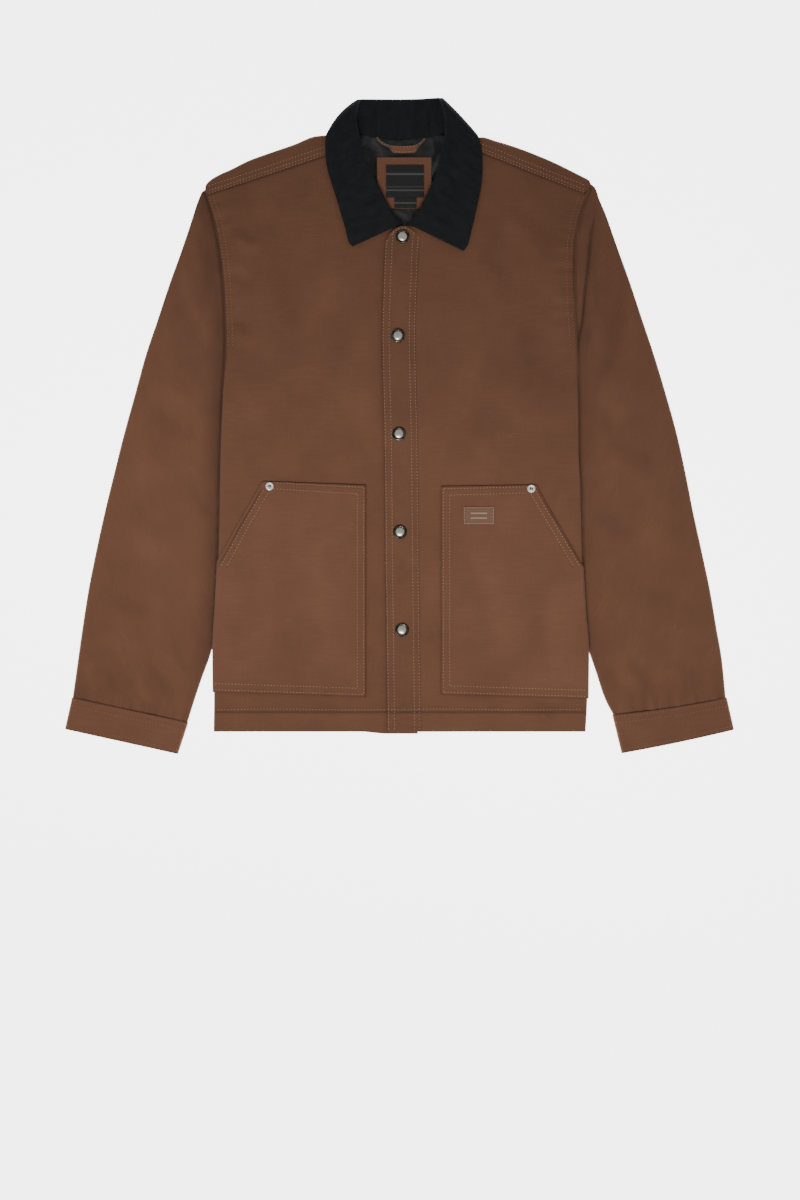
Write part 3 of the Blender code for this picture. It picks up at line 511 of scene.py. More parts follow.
# %% A finish
class Finish:
    """A material, and the nodes that work out its colour, gloss and bumps."""

    def __init__(self, name, roughness, metallic=0.0, **constants):
        self.material = bpy.data.materials.new(name)
        self.material.use_nodes = True
        self.nodes = self.material.node_tree.nodes
        self.links = self.material.node_tree.links
        self.surface = self.nodes["Principled BSDF"]
        self.surface.inputs["Roughness"].default_value = roughness
        self.surface.inputs["Metallic"].default_value = metallic
        for socket, value in constants.items():
            self.surface.inputs[socket.replace("_", " ")].default_value = value

    def put(self, socket, value):
        if isinstance(value, Reading):
            self.links.new(value.socket, socket)
        else:
            socket.default_value = value

    def node(self, kind, inputs, output=0, **settings):
        """Adds a node, with its settings first and then its inputs, and reads one output."""
        made = self.nodes.new(f"ShaderNode{kind}")
        for name, value in settings.items():
            setattr(made, name, value)
        for socket, value in inputs.items():
            self.put(made.inputs[socket], value)
        return Reading(self, made.outputs[output])

    def cloth(self, scale_x=1.0, scale_y=1.0):
        """The cloth's own coordinates, in metres, stretched by these factors."""
        uv = self.node("UVMap", {}, uv_map="cloth")
        return self.node("Mapping", {"Vector": uv, "Scale": (scale_x, scale_y, 1)})

    def place(self, axis):
        """How far across (0) or along (1) the cloth a point is, in metres."""
        return self.node("SeparateXYZ", {0: self.cloth()}, axis)

    def space(self, scale):
        place = self.node("TexCoord", {}, "Object")
        return self.node("Mapping", {"Vector": place, "Scale": (scale, scale, scale)})

    def painted_shade_and_wear(self):
        """How much painted shade and highlight, with some uneven tone, a piece has at each point, which its
        mesh holds.
        """
        return self.node("Attribute", {}, "Fac", attribute_name="painted_shade_and_wear")

    def grain(self, vector, detail=2.0, rough=0.5):
        inputs = {"Vector": vector, "Scale": 1.0, "Detail": detail, "Roughness": rough}
        return self.node("TexNoise", inputs) * 2 - 1

    def threads(self, count, axis):
        """Ridges of threads, from 0 to 1, this many to the metre, that wander a little."""
        phase = self.place(axis) * count + self.grain(self.cloth(90, 90), 1) * 0.25
        return phase.maths("ABSOLUTE", phase.maths("SINE", phase * math.pi))

    def tint(self, colour, amount):
        """The colour made lighter or darker by amount, where 0 leaves it."""
        if not isinstance(colour, Reading):
            colour = colour[:3]
        return self.node("VectorMath", {0: colour, "Scale": amount + 1}, operation="SCALE")

    def blend(self, share, low, high):
        inputs = {"Factor": share, 6: low, 7: high}
        return self.node("Mix", inputs, 2, data_type="RGBA")

    def bump(self, *layers):
        """Each layer is a reading and its depth in millimetres."""
        normal = {}
        for height, depth in layers:
            inputs = {"Height": height, "Distance": depth * MM, "Strength": 1.0, **normal}
            normal = {"Normal": self.node("Bump", inputs)}
        self.put(self.surface.inputs["Normal"], normal["Normal"])

    def done(self, colour):
        self.put(self.surface.inputs["Base Color"], colour)
        return self.material


def shaded(colour, shade=1.0):
    return (*(shade * value for value in colour), 1)


print("Half of a pale brown is", shaded((0.17, 0.08, 0.05), 0.5))

# %% [markdown]
# ## Brown canvas
# The jacket is cotton duck: a thread about every 0.7 mm, slubs where it was spun unevenly, and paler
# where it is rubbed. Flat brown with a bump looks like plastic. So slubs, a soft mottle and pale
# hairs change it a little, and each mesh holds painted shade and highlight that follow its folds and
# seams, with a little uneven tone.

# %% Brown canvas
COTTON, RUBBED_COTTON = (0.152, 0.0665, 0.0365), (0.170, 0.080, 0.047)
WARP, WEFT = 1450, 1300  # threads to the metre


def canvas_colour(cloth, shade):
    """Its colour and its slubs: thick places in the weft and warp, a soft mottle and pale hairs."""
    weft_slubs = cloth.grain(cloth.cloth(34, 760), detail=3, rough=0.6)
    warp_slubs = cloth.grain(cloth.cloth(760, 30), detail=3, rough=0.6)
    mottle = cloth.grain(cloth.cloth(13, 12), detail=3, rough=0.55)
    flecks = cloth.grain(cloth.cloth(1500, 1300), detail=1)
    hairs = (cloth.grain(cloth.cloth(150, 620), detail=1) - 0.42).at_least(0)
    tone_shift = ((mottle + weft_slubs) * 0.5).at_least(0)
    amount = weft_slubs * 0.085 + warp_slubs * 0.06 + mottle * 0.09 + flecks * 0.15 + hairs * 1.6
    # the mesh's painted shade and highlight on folds and seams, with some uneven tone
    amount = amount + cloth.painted_shade_and_wear()
    base = cloth.blend(tone_shift, shaded(COTTON, shade), shaded(RUBBED_COTTON, shade))
    return cloth.tint(base, amount), weft_slubs, warp_slubs


def canvas(name, shade=1.0):
    """Brown cotton duck, this much lighter than the body's."""
    cloth = Finish(name, 0.88, Sheen_Weight=0.12, Sheen_Roughness=0.5, Specular_IOR_Level=0.25)
    colour, weft_slubs, warp_slubs = canvas_colour(cloth, shade)
    weave = cloth.threads(WARP, 0).at_least(cloth.threads(WEFT, 1))
    cloth.bump((weft_slubs, 0.07), (warp_slubs, 0.05), (weave, 0.10))
    return cloth.done(colour)


CANVAS = canvas("canvas_body")
# The pocket, placket, sleeves and cuffs are lighter and darker copies of the body's canvas: painted light
# and shade, for how the light falls on each piece.
CANVAS_POCKET = canvas("canvas_pocket", 1.06)
CANVAS_PLACKET = canvas("canvas_placket", 0.96)
CANVAS_SLEEVE = {
    "right": canvas("canvas_sleeve_right", 1.08),
    "left": canvas("canvas_sleeve_left", 1.03),
}
CANVAS_CUFF = {
    "right": canvas("canvas_cuff_right", 1.18),
    "left": canvas("canvas_cuff_left", 1.04),
}
CANVAS_FACING = canvas("canvas_facing", 1.2)
print("One canvas has", len(CANVAS.node_tree.nodes), "nodes.")

# %% [markdown]
# ## Black nap and satin
# The collar is brushed until its fibres stand up, so it is nearly black and never shiny. Hair could
# be grown, but from here the pile shows only as grain, so a fine bump and a faint sheen are enough.
# The lining is thin, smooth and creased, so it has a low roughness and deeper bumps.

# %% Black nap and satin
NAP_BLACK, SATIN_BLACK = (0.0165, 0.0172, 0.0180), (0.0185, 0.0185, 0.0185)
NAP_SHEEN = (0.5, 0.56, 0.62, 1)


def napped(name):
    nap = Finish(name, 0.97, Sheen_Weight=0.06, Sheen_Roughness=0.6, Specular_IOR_Level=0.1)
    nap.surface.inputs["Sheen Tint"].default_value = NAP_SHEEN
    hair = nap.grain(nap.cloth(2600, 900), detail=2, rough=0.6)
    brushed = nap.grain(nap.cloth(110, 60), detail=3, rough=0.6)
    nap.bump((brushed, 0.16), (hair, 0.22))
    return nap.done(nap.tint(shaded(NAP_BLACK), hair * 0.5 + brushed * 0.5))


def satin(name):
    thin = Finish(name, 0.34, Specular_IOR_Level=0.35)
    crease = thin.grain(thin.cloth(130, 90), detail=4, rough=0.6)
    weave = thin.threads(3600, 0).at_least(thin.threads(3200, 1))
    thin.bump((crease, 1.1), (weave, 0.03))
    # the crease noise and the mesh's values paint shade in the creases and hollows and a highlight on their
    # ridges
    return thin.done(thin.tint(shaded(SATIN_BLACK), crease * 0.5 + thin.painted_shade_and_wear()))


NAP = napped("collar_nap")
SATIN = satin("lining_satin")
print("The collar and the lining are", NAP.name, "and", SATIN.name)

# %% [markdown]
# ## Thread
# The seams are sewn with thick thread, tan where it should show and brown at the armholes and cuffs.
# A flat colour would do from afar. Fine noise gives each stitch its twist, and broader noise makes
# some stitches paler.

# %% Thread
def thread(name, colour):
    cotton = Finish(name, 0.75, Sheen_Weight=0.2, Specular_IOR_Level=0.3)
    plies = cotton.grain(cotton.space(2600), detail=1)
    shade = cotton.grain(cotton.space(260), detail=2)
    cotton.bump((plies, 0.06))
    return cotton.done(cotton.tint(shaded(colour), plies * 0.2 + shade * 0.16))


THREAD = thread("tan_thread", (0.38, 0.235, 0.155))
DARK_THREAD = thread("brown_thread", (0.25, 0.13, 0.08))
BLACK_THREAD = thread("black_thread", (0.03, 0.03, 0.03))
print("Threads:", THREAD.name, DARK_THREAD.name, BLACK_THREAD.name)

# %% [markdown]
# ## Woven labels
# Labels are woven from fine yarn, with plain bars across them. The bars could be pieces of their
# own, but woven ones lie level with their ground, so the material draws them between named places.

# %% Woven labels
BAR_SIDE = 0.008  # from the pocket label's sides to its bars, in metres
BORDER = 0.0008
BORDER_COLOUR = (0.33, 0.24, 0.17)


def woven(name, colour, bars=(), bar_colour=(0.11, 0.105, 0.10), border=None):
    """A woven label, with a plain bar across it for each (low, high) in metres. border is the
    label's width and height, and gives it a pale woven edge."""
    label = Finish(name, 0.6, Sheen_Weight=0.15, Specular_IOR_Level=0.3)
    speckle = label.grain(label.cloth(1800, 2600), detail=1)
    result = label.tint(shaded(colour), speckle * 0.22)
    along = label.place(1)
    for low, high in bars:
        inside = along.between(low, high)
        if border:
            inside = inside * label.place(0).between(BAR_SIDE, border[0] - BAR_SIDE)
        result = label.blend(inside * 0.7, result, shaded(bar_colour))
    if border:
        middle = along.between(BORDER, border[1] - BORDER)
        middle = middle * label.place(0).between(BORDER, border[0] - 2 * BORDER)
        result = label.blend((1 - middle) * 0.6, result, shaded(BORDER_COLOUR))
    label.bump((label.threads(2600, 1), 0.06), (label.threads(1700, 0), 0.04))
    return label.done(result)


LABEL_WEAVE = woven(
    "label_weave",
    (0.0125, 0.0125, 0.0128),
    bars=[(0.0075, 0.0092), (0.0120, 0.0127), (0.0262, 0.0286)],
)
TAB_WEAVE = woven("tab_weave", (0.0135, 0.0135, 0.0138), bars=[(0.0050, 0.0066)])
POCKET_WEAVE = woven(
    "pocket_label_weave",
    (0.185, 0.090, 0.053),
    bars=[(0.0062, 0.0078), (0.0118, 0.0134)],
    bar_colour=(0.42, 0.33, 0.25),
    border=(0.035, 0.020),
)
print("Labels:", LABEL_WEAVE.name, TAB_WEAVE.name, POCKET_WEAVE.name)

# %% [markdown]
# ## Metal
# The snaps are plated to look old, with a dark patina in the groove round the cap and a painted
# shade on the outer edge where it turns down. The rivets are bright nickel, with a painted shade on
# the middle of the cap for its hollow. These could be painted on each, but bands at a distance from
# the centre put them in the same places on all of them.

# %% Metal
def metal(name, colour, dark, roughness, metallic, bands):
    """Metal with fine scratches, an uneven patina, and darker bands round its centre. Each band has its
    inner and outer distance from there, in metres, and how dark it is."""
    finish = Finish(name, roughness, metallic)
    patina = finish.grain(finish.space(420), detail=4, rough=0.6)
    scratches = finish.grain(finish.space(2400), detail=2)
    share = patina * 0.4 + 0.06
    for low, high, strength in bands:
        share = share + finish.place(0).between(low, high) * strength
    share = share.at_least(0)
    finish.put(finish.surface.inputs["Roughness"], patina * 0.1 + roughness)
    finish.bump((patina, 0.05), (scratches, 0.015))
    return finish.done(finish.blend(share, shaded(colour), shaded(dark)))


ANTIQUE = metal(
    "antique_silver",
    colour=(0.68, 0.66, 0.55),
    dark=(0.02, 0.02, 0.016),
    roughness=0.3,
    metallic=1.0,
    # dark patina in the groove and over the ring, and painted shade where its outer edge turns down
    bands=[(0.0053, 0.0080, 0.88)],
)
BRIGHT = metal(
    "bright_nickel",
    colour=(0.97, 0.95, 0.90),
    dark=(0.06, 0.05, 0.04),
    roughness=0.35,
    metallic=0.5,
    # painted shade on the middle of the cap, for a hollow there
    bands=[(0.0004, 0.0020, 0.95)],
)
print("Metals:", ANTIQUE.name, BRIGHT.name)

# %% [markdown]
# ## How uneven a front is
# A front has long soft folds, puckers along its seams, and a thicker hem. A displacement map could
# add them in the render only, but then the pockets wouldn't lie on them. So they are one height that
# all these pieces share, and the same folds say where light and shade are painted on the canvas:
# paler on the ridges, darker in the hollows and along the seams.

# %% How uneven a front is
FRONT_FOLDS = table(
    Fold,
    # By the right armhole
    (-196, 232, -168, 214, 7, -0.5), (-193, 219, -160, 205, 8, 0.5), (-197, 190, -172, 172, 6, 0.4),
    (-199, 178, -170, 163, 7, -0.5), (-199, 128, -176, 108, 7, -0.45), (-197, 112, -166, 96, 9, 0.5),
    (-200, 62, -178, 30, 10, 0.35), (-190, 20, -158, -24, 13, -0.35),
    # Down the right of the chest
    (-138, 170, -124, 40, 16, -0.55), (-108, 150, -100, 30, 18, 0.4), (-70, 196, -96, 132, 14, 0.35),
    (-52, 120, -74, 60, 13, -0.3), (-40, 60, -52, -20, 15, 0.3), (-150, 262, -92, 282, 15, -0.35),
    (-176, 244, -132, 252, 12, 0.3),
    # Down the left of the chest
    (92, 222, 142, 158, 13, -0.45), (112, 244, 168, 188, 12, 0.45), (134, 260, 184, 222, 10, -0.4),
    (172, 168, 194, 128, 9, 0.35), (150, 120, 182, 40, 14, -0.35), (66, 150, 84, 40, 17, 0.35),
    (104, 90, 122, -30, 18, -0.35), (168, 30, 196, -40, 12, 0.3), (150, 280, 96, 300, 12, 0.3),
    # Over the pockets and above the hem
    (-168, -118, -152, -250, 17, 0.35), (-134, -130, -122, -270, 14, -0.35),
    (-96, -140, -90, -240, 16, 0.3), (-64, -110, -72, -210, 12, -0.25), (76, -150, 96, -268, 15, -0.3),
    (118, -130, 134, -262, 18, 0.35), (158, -150, 150, -280, 14, -0.35), (184, -190, 192, -290, 10, 0.3),
    (40, -130, 34, -230, 9, 0.25), (-30, -250, -34, -320, 8, -0.25), (-186, -322, -150, -331, 7, 0.3),
    (-96, -324, -52, -330, 6, -0.25), (60, -326, 108, -331, 6, 0.25), (150, -324, 190, -330, 7, -0.3),
)
HEM_LIFT = 0.5
HEM_CREASE, HEM_CREASE_Y = 0.75, -335.6
HEM_CREASE_ROWS = (-338.5, -337.2, -336.4, -335.6, -334.8, -334)
HEM_STITCH = -332.8
HEM_LINE = [(-216, HEM_STITCH), (218, HEM_STITCH)]
HEM_CREASE_LINE = [(-230, HEM_CREASE_Y), (230, HEM_CREASE_Y)]
PLACKET_SIDE = [(25.5, -358), (23, -158), (22, -29), (19.5, 111), (20.5, 146), (23, 206)]
BULGE = 0.95  # the height of the cloth's broadest rises


def hem_lift(y):
    """The turned-up hem is thicker, with a crease below its stitches."""
    turned_up = HEM_LIFT * (1 - ease((y - HEM_TOP) / 1.4))
    return turned_up - HEM_CREASE * bell(y - HEM_CREASE_Y, 1.1)


def front_relief(side, x, y):
    """Everything that makes a front uneven, above its plain height."""
    height = FOLD_STRENGTH * folded(FRONT_FOLDS, x, y)
    height += BULGE * waves(x, y, size=46, seed=2.3) + 0.26 * waves(x, y, size=17, seed=7.9)
    height = height * ease((np.abs(side_x(side, y)) - np.abs(x)) / 14)
    height += puckers(armhole(side, 5), x, y, width=9, height=0.2)
    height += puckers(armhole(side, 12), x, y, width=16, height=0.4)
    height += puckers(shoulder_line(side), x, y, width=8, height=0.14)
    height += puckers(HEM_LINE, x, y, width=8, height=0.16)
    height += seam_dip(armhole(side), x, y) + seam_dip(shoulder_line(side), x, y, width=2, depth=0.4)
    if side == "left":
        height += puckers(PLACKET_SIDE, x, y, width=10, height=0.16)
    return height


def front_shade_and_wear(side, x, y):
    """Painted highlight on the ridges, painted shade in the hollows, along the seams and at the hem's
    crease, painted lighter below that crease, and some uneven tone.
    """
    folds = FOLD_STRENGTH * folded(FRONT_FOLDS, x, y) + BULGE * waves(x, y, size=46, seed=2.3)
    painted_shade_and_wear = 0.075 * folds + 0.04 * waves(x, y, size=14, seed=6.1)
    painted_shade_and_wear += seam_dip(shoulder_line(side), x, y, width=1.6, depth=0.3)
    painted_shade_and_wear += seam_dip(armhole(side), x, y, width=1.3, depth=0.35)
    painted_shade_and_wear += seam_dip(armhole(side, 4.5), x, y, width=2, depth=0.05)
    painted_shade_and_wear += puckers(armhole(side, 8), x, y, width=16, height=0.14)
    painted_shade_and_wear += 0.06 * ease((HEM_CREASE_Y - y) / 4)
    return painted_shade_and_wear + seam_dip(HEM_CREASE_LINE, x, y, width=1.2, depth=0.3)


def front_top(side, x, y):
    """The outer face of a front, without its hem."""
    over = overlap(x, y) if side == "left" else 0
    return topside(x, y) + over + front_relief(side, x, y)


def front_height(side, x, y):
    return front_top(side, x, y) + hem_lift(y)


print(f"At the middle of the chest the left front is {float(front_top('left', 0, 0)):.1f} mm high.")

# %% [markdown]
# ## Fronts
# A front could be a flat sheet cut to shape, but its edge would stand open at the side. So its rows
# run from the side or armhole to the free edge or neckline, and below the armpit their first few
# points turn down round the side to its seam.

# %% Fronts
TURN_RADIUS = (BODY_HEIGHT - SEAM) / 2  # of a panel, where it turns to its side seam
TURN = TURN_RADIUS * math.pi / 2
TURN_FADE = 20  # below the armpits
TURN_STEPS = np.linspace(0, 1, 7)
FRONT_COLUMNS = 58
SEAM_ALLOWANCE = 0.15  # half of the gap at the shoulder seam
HEM_DROP = 2.3  # the under front shows below the hem by this much
HEM_DROP_FROM, HEM_DROP_RAMP = -45, 30

# Each row runs from the side or armhole, at outer_y, to the free edge or neckline
FrontRow = namedtuple("FrontRow", "outer_y inner_x inner_y")
LOWER_ROWS = (HEM, *HEM_CREASE_ROWS, -333, -332.3, -316, -298, -281, -262, -212, -165, -118)
LOWER_ROWS += (-70, -30, 8, 30, 50, 70)
FREE_EDGE = {
    "right": [(-361, 22), (250, 22)],
    "left": [(-361, -14), (-158, -16.5), (-29, -17.7), (111, -20.4), (146, -19.4), (211, -17)],
}
UPPER_ROWS = {
    "right": table(
        FrontRow,
        (ARMPIT, 22, 88), (107, 22, 108), (124, 22, 128), (139, 22, 148), (153, 22, 168), (166, 22, 186),
        (177, 22, 204), (186, 22, 218), (194, 14, 227), (201, 4.7, 231.6), (207, -2.8, 230.9),
        (213, -11, 237.2), (220, -18.1, 245.7), (229, -26.9, 260.4), (236, -32.8, 272.3),
        (245, -39.8, 287.8), (251, -45, 298.3), (257, -49.4, 307.7), (263, -53.2, 316.5),
    ),
    "left": table(
        FrontRow,
        (ARMPIT, -20.2, 90), (107, -20.3, 110), (124, -20.2, 129), (139, -19.4, 148), (153, -18.6, 166),
        (166, -18, 184), (177, -17.4, 200), (187, -16, 213), (195, -12.3, 221.1), (202, -3.5, 228.7),
        (208, 5.8, 232.3), (213, 12.3, 231.4), (219, 19.6, 230.9), (226, 26.9, 241), (233, 34.5, 252.3),
        (241, 44.5, 273.4), (249, 49.7, 288.1), (255, 53.1, 298.1), (262, 57, 312.5),
    ),
}


def panel_points(edge_x, edge_y, way_x, way_y, along, out, face, height):
    """Points this far along from a panel's edge: flat, or turned to the side seam."""
    flat = along >= TURN
    place = TURN_RADIUS + along - TURN
    angle = np.clip(along, 0, TURN) / TURN_RADIUS
    reach = TURN_RADIUS + out
    level = np.where(flat, place, along / TURN * TURN_RADIUS)
    turned = np.where(flat, place, TURN_RADIUS - reach * np.cos(angle))
    turning = ease((ARMPIT - edge_y) / TURN_FADE)
    distance = mix(level, turned, turning)
    lift = np.where(flat, out, mix(out, reach * np.sin(angle) - TURN_RADIUS, turning))
    x, y = edge_x + way_x * distance, edge_y + way_y * distance
    z = height(edge_x + way_x * level, edge_y + way_y * level) + face * lift
    return np.stack(np.broadcast_arrays(x, y, z), axis=-1)


def front_face(side, out):
    (outer_x, outer_y), (inner_x, inner_y) = SHOULDER_SEAM[side]
    inward = math.copysign(SEAM_ALLOWANCE, outer_x)
    last = (outer_y - SEAM_ALLOWANCE, inner_x - inward, inner_y - SEAM_ALLOWANCE)
    lower = [(y, np.interp(y, *zip(*FREE_EDGE[side])), y) for y in LOWER_ROWS]
    rows = rows_between([*lower, *UPPER_ROWS[side], last])
    outer_y, inner_x, inner_y = (column[:, None] for column in rows.T)
    edge_x = side_x(side, outer_y)
    whole = np.hypot(inner_x - edge_x, inner_y - outer_y)
    way_x, way_y = (inner_x - edge_x) / whole, (inner_y - outer_y) / whole
    shares = np.linspace(0, 1, FRONT_COLUMNS)[1:]
    turn, flat = TURN * TURN_STEPS + 0 * whole, TURN + (whole - TURN_RADIUS) * shares
    along = np.concatenate([turn, flat], axis=1)
    height = partial(front_height, side)
    points = panel_points(edge_x, outer_y, way_x, way_y, along, out, 1, height)
    if side == "right":
        points[0, :, 1] -= HEM_DROP * ease((points[0, :, 0] - HEM_DROP_FROM) / HEM_DROP_RAMP)
    return points


fronts = {}
for side in SIDES:
    face, painted_shade_and_wear = partial(front_face, side), partial(front_shade_and_wear, side)
    fronts[side] = panel(f"front_{side}_canvas", face, WALL, CANVAS, painted_shade_and_wear=painted_shade_and_wear)
tell(*fronts.values())

# %% [markdown]
# ## Pockets
# A patch pocket is canvas sewn on the front, slanted where the hand goes in. It could be cut from the
# front's own mesh, but its edge wouldn't follow the mesh's lines. So it has rows of its own, and each
# point takes its height from the front below it.

# %% Pockets
PATCH = 1.4  # pocket cloth
# The lower and upper edges of each pocket, at the side and at the inner end
PocketEdge = namedtuple("PocketEdge", "bottom_side bottom_inner top_side top_inner inner_x")
POCKET_EDGES = {
    "right": PocketEdge(-312.6, -318.2, -64.6, -70.2, -38.6),
    "left": PocketEdge(-320.4, -315.5, -69.6, -71.8, 49),
}
POCKET_LOW, POCKET_HIGH = -316, -70  # about where those edges lie
POCKET_ROWS, POCKET_COLUMNS = 58, 40
POCKET_SLANT_Y = (-400, -166, -118, -94, -66)
POCKET_SLANT = {"right": (0, 0, 24.6, 38.4, 54), "left": (0, 0, 27.2, 41, 55.5)}
POCKET_SLANT_PLACES = (-165, -141, -118, -94, -76)
POCKET_FOOT = -313
POCKET_ROW_INSETS = (2.8, 10.2)
RIM_SHARES = (0, 0.003, 0.007, 0.013, 0.022)  # closer points by a pocket's edge


def slant_in(side, y):
    """How far the pocket's slanted edge is in from the side of the body."""
    return np.interp(y, POCKET_SLANT_Y, POCKET_SLANT[side])


def with_rims(count):
    """Shares from 0 to 1, closer together at both ends."""
    rims = np.array(RIM_SHARES)
    return np.concatenate([rims, np.linspace(0, 1, count)[1:-1], 1 - rims[::-1]])


def pocket_rim(side, inset):
    """Lines round the pocket, this far in from its edge."""
    edge = POCKET_EDGES[side]
    toward = SIGN[side]
    inner_x = edge.inner_x + toward * inset
    slant = [
        (float(side_x(side, y)) - toward * (float(slant_in(side, y)) + inset), y)
        for y in POCKET_SLANT_PLACES
    ]
    foot = (float(side_x(side, POCKET_FOOT)) - toward * 2, edge.bottom_side + inset)
    top = (slant[-1][0] - toward * 3, edge.top_side - inset)
    return {
        "foot": [(inner_x, edge.bottom_inner + inset), foot],
        "inner": [(inner_x, edge.bottom_inner + inset), (inner_x, edge.top_inner - inset)],
        "top": [(inner_x, edge.top_inner - inset), top],
        "slant": slant,
    }


def pocket_relief(side, x, y):
    """Gathers along the pocket's own seams, whose cloth stands up between the rows of stitches."""
    height = 0
    for line in pocket_rim(side, 6).values():
        gathers = puckers(line, x, y, width=7, height=0.2)
        height = height + gathers - seam_dip(line, x, y, width=3, depth=0.2)
    return height


def pocket_shade_and_wear(side, x, y):
    """The front's own painted shade and tone, and painted shade at the pocket's edge and its rows of
    stitches.
    """
    painted_shade_and_wear = front_shade_and_wear(side, x, y)
    for line in pocket_rim(side, 0.2).values():
        painted_shade_and_wear = painted_shade_and_wear + seam_dip(line, x, y, width=0.9, depth=0.4)
    for inset in POCKET_ROW_INSETS:
        for line in pocket_rim(side, inset).values():
            painted_shade_and_wear = painted_shade_and_wear + seam_dip(line, x, y, width=1.4, depth=0.06)
    return painted_shade_and_wear


def pocket_face(side, out):
    edge = POCKET_EDGES[side]
    rise = with_rims(POCKET_ROWS)[:, None]
    plain_y = mix(POCKET_LOW, POCKET_HIGH, rise)
    slant_shares = np.linspace(0, 0.03, 8)[1:]
    shares = np.sort(np.concatenate([with_rims(POCKET_COLUMNS), slant_shares]))[None, :]
    side_at = side_x(side, plain_y)
    last = np.abs(side_at - edge.inner_x) + TURN - TURN_RADIUS
    along = mix(slant_in(side, plain_y), last, shares)
    across = along / last
    bottom = mix(edge.bottom_side, edge.bottom_inner, across) - POCKET_LOW
    top = mix(edge.top_side, edge.top_inner, across) - POCKET_HIGH
    y = plain_y + mix(bottom, top, rise)
    edge_x = side_x(side, y)
    toward = -np.sign(edge_x)

    def height(x, y):
        return front_height(side, x, y) + pocket_relief(side, x, y)

    return panel_points(edge_x, y, toward, 0 * y, along, SEAM + PATCH + out, 1, height)


pockets = {}
for side in SIDES:
    face, painted_shade_and_wear = partial(pocket_face, side), partial(pocket_shade_and_wear, side)
    pockets[side] = panel(f"pocket_{side}_canvas", face, PATCH, CANVAS_POCKET, painted_shade_and_wear=painted_shade_and_wear)
tell(*pockets.values())

# %% [markdown]
# ## Placket
# The placket is a stiff band over the opening, which holds the snaps. It could be extruded from the
# left front, but it is a strip that is sewn on. So it is rows up to a curved end, raised over the
# front, and thinned out where it is sewn down.

# %% Placket
BAND = 1.2  # placket
PLACKET_GAP = 0.4
PLACKET_WIDTH = 40
PLACKET_PLACES = (-361, -158, -29, 111, 146, 212)  # where its left edge is known
PLACKET_LEFT = (-14, -16.5, -17.7, -20.4, -19.4, -16.8)
PLACKET_TOP_X = (-15.8, 24.2)
PLACKET_CURVE = [(-16.5, 212), (-14.3, 217), (-10.6, 223.2), (-4, 229), (3, 231.8), (8, 231.6)]
PLACKET_CURVE += [(14, 228.4), (20, 225), (26, 222.5)]
PLACKET_SHARES = (0, 0.015, 0.035, 0.06, *np.linspace(0.1, 0.9, 11), 0.94, 0.97, 1)
PLACKET_TURN, PLACKET_RAMP = 190, 25  # where its sides start to follow its top


def placket_left(y):
    return smooth(PLACKET_PLACES, PLACKET_LEFT, y)


def placket_gathers(x, y):
    gather = puckers([(-12, -358), (-16, 100), (-13, 212)], x, y, width=8, height=0.3)
    return gather + puckers([(px - 5, py) for px, py in PLACKET_SIDE], x, y, width=8, height=0.3)


def placket_shade_and_wear(x, y):
    """The front's own painted shade and tone, painted shade at both sides, and a little uneven tone across.
    """
    left = [(float(placket_left(y)), y) for y in PLACKET_PLACES]
    painted_shade_and_wear = front_shade_and_wear("left", x, y) + seam_dip(left, x, y, width=0.9, depth=0.4)
    painted_shade_and_wear += seam_dip(PLACKET_SIDE, x, y, width=1.1, depth=0.2)
    return painted_shade_and_wear + 0.05 * waves(x / 2, y, size=5.5, seed=4.2)


def placket_face(out):
    hem_rises = (np.array(HEM_CREASE_ROWS) - HEM) / (PLACKET_CURVE[0][1] + 9 - HEM)
    rise = np.sort(np.concatenate([np.linspace(0, 1, 150), hem_rises]))[:, None]
    shares = np.array(PLACKET_SHARES)[None, :]
    top_x = mix(*PLACKET_TOP_X, shares)
    y = mix(HEM, smooth(*zip(*PLACKET_CURVE), top_x), rise)
    x = placket_left(np.minimum(y, PLACKET_PLACES[-1])) + PLACKET_WIDTH * shares
    x = mix(x, top_x, ease((y - PLACKET_TURN) / PLACKET_RAMP))
    # it thins out to the front's own face where the last row of stitches holds it
    raised = PLACKET_GAP + BAND + out
    thin = 0.1 + (BAND + out) / 4
    height = mix(raised, thin, ease((shares - 0.74) / 0.25))
    z = front_height("left", x, y) + placket_gathers(x, y) + height
    return np.stack([x, y, z], axis=-1)


placket = panel("placket_canvas", placket_face, BAND, CANVAS_PLACKET, rim=0.35, painted_shade_and_wear=placket_shade_and_wear)
tell(placket)

# %% [markdown]
# ## Back
# The back is one panel from hem to neck, folded forward over each shoulder to a seam on the chest. It
# could be two pieces joined there, but the real one has no seam at the top. So its lower layer is a
# grid, and rows of points go on from its top round each shoulder.

# %% Back
BACK_FOLDS = table(
    Fold,
    (-150, 230, -100, 60, 22, 0.5), (-60, 240, -76, 90, 18, 0.35), (88, 236, 70, 60, 21, 0.45),
    (150, 210, 168, 110, 15, 0.35), (-120, -60, -96, -230, 20, 0.4), (20, 60, 44, -140, 24, 0.4),
    (130, -40, 112, -250, 19, 0.45), (-30, -190, -48, -330, 14, 0.3),
)
